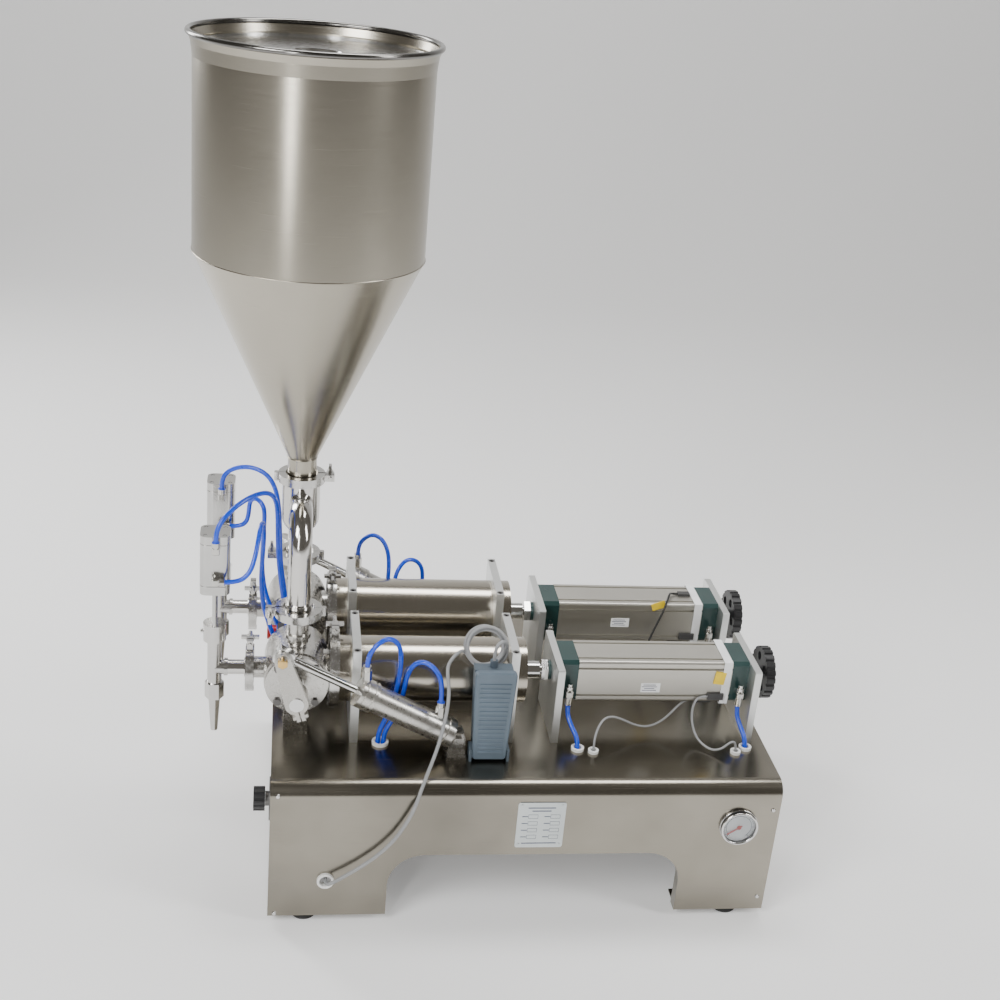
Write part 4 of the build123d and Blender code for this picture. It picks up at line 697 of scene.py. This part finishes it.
@dataclass
class HeadDress:
    """Collars, knobs, labels, tags and pin bolts of one head."""

    letter: str
    side: float

    def build(self) -> None:
        """Make the head's small pieces."""
        self.collets()
        self.flow_knobs()
        self.labels()
        self.pin_bolt()
        self.seals()

    def mirror(self, point: Point) -> Point:
        """A point given for head a, on this head."""
        return (point[0], -self.side * point[1], point[2])

    def shift(self, point: Point) -> Point:
        """A point given for head a, moved over to this head without mirroring."""
        return (point[0], point[1] + (2 * HEAD_Y if self.side > 0 else 0.0), point[2])

    def collets(self) -> None:
        """Blue release collars where tubes enter their fittings."""
        blue = Piece(f"collets_{self.letter}", "blue_tube", "blue_tube")
        for x, y, z in ((0.14996, -0.205, 0.4301), (0.27436, -0.205, 0.3665)):
            blue.ring(self.mirror((FRONT + x, y, z)), (0, 0, 1), 0.0054, 0.0012, 32)
        blue.ring(self.shift((FRONT - 0.096, -0.140, 0.618)), (0, 0, 1), 0.0054, 0.0012, 32)
        blue.ring(self.shift((FRONT - 0.082, -0.140, 0.548)), (1, 0, 0), 0.0054, 0.0012, 32)
        for x in (0.499, 0.800):
            blue.ring(self.shift((FRONT + x, -0.157, 0.335)), (0, 0, 1), 0.0054, 0.0012, 32)
        blue.finish_piece()

    def flow_knobs(self) -> None:
        """Knurled speed-control screws on the air cylinder's elbows."""
        knobs = Piece(f"flow_knobs_{self.letter}", "bright_steel", "fitting_metal")
        for x in (0.499, 0.800):
            x, y, z = self.shift((FRONT + x, -0.157, 0.3615))
            knobs.disc(0.0058, (x, y, z), (x, y, z + 0.007), 18)
            knobs.disc(0.0040, (x, y, z + 0.007), (x, y, z + 0.013), 18)
        knobs.soften(0.0005, 2)
        knobs.finish_piece()

    def labels(self) -> None:
        """Blank white label, its ruled lines, the white strap and the yellow tag."""
        face = (-0.145 if self.side < 0 else 0.067) - 0.0003
        x, z = (FRONT + 0.643, 0.361) if self.side < 0 else (FRONT + 0.631, 0.372)
        label = Piece(f"barrel_label_{self.letter}", "white_label", "white_plastic")
        label.slab((x, face, z), (0.034, 0.0005, 0.018))
        label.finish_piece()
        lines = Piece(f"barrel_label_lines_{self.letter}", "ink", "black_cable")
        for dz, width in ((0.0055, 0.022), (0.002, 0.027), (-0.0015, 0.018), (-0.005, 0.025)):
            lines.slab((x - 0.002, face - 0.0003, z + dz), (width, 0.0002, 0.0012))
        lines.finish_piece()
        tag = Piece(f"yellow_tag_{self.letter}", "yellow_tag", "white_plastic")
        if self.side < 0:
            tag.slab((FRONT + 0.764, face - 0.0012, 0.3815), (0.019, 0.0008, 0.024), Matrix.Rotation(0.12, 4, "Y"))
        else:
            tag.slab((FRONT + 0.700, 0.0665, 0.4085), (0.026, 0.0012, 0.014), Matrix.Rotation(-0.35, 4, "Y"))
        tag.finish_piece()
        strap = Piece(f"white_strap_{self.letter}", "white_label", "white_plastic")
        middle, half = self.side * HEAD_Y, 0.0404
        for dy, dz, wide, tall in ((0, half, 2 * half, 0.0008), (0, -half, 2 * half, 0.0008),
                                   (half, 0, 0.0008, 2 * half), (-half, 0, 0.0008, 2 * half)):
            strap.slab((FRONT + 0.776, middle + dy, AXIS_Z + dz), (0.0145, wide, tall))
        strap.finish_piece()

    def pin_bolt(self) -> None:
        """Brass pin bolt at the crank's tip."""
        bolt = Piece(f"crank_pin_bolt_{self.letter}", "brass", "crank_steel", f"valve_turning_{self.letter}")
        x, z = FRONT + 0.01399, 0.45103
        bolt.disc(0.0089, self.mirror((x, -0.2274, z)), self.mirror((x, -0.2333, z)), 6)
        bolt.soften(0.0006, 2)
        bolt.finish_piece()

    def seals(self) -> None:
        """Pale gaskets that show at the sanitary joints."""
        seals = Piece(f"joint_seals_{self.letter}", "seal", "white_plastic")
        y = self.side * HEAD_Y
        seals.ring((FRONT - 0.040, y, AXIS_Z), (1, 0, 0), 0.0322, 0.0006)
        seals.ring((VALVE_X, y, 0.480), (0, 0, 1), 0.0322, 0.0006)
        seals.finish_piece()


def main() -> None:
    """Build the looks in order."""
    logging.basicConfig(level=logging.INFO, format="%(message)s")
    Studio().build()
    lay_cords()
    dress_nodes()
    HopperDress().build()
    PedalDress().build()
    GaugeDress().build()
    PlateDress().build()
    for letter, side in SIDES:
        HeadDress(letter, side).build()


if __name__ == "__main__":
    main()
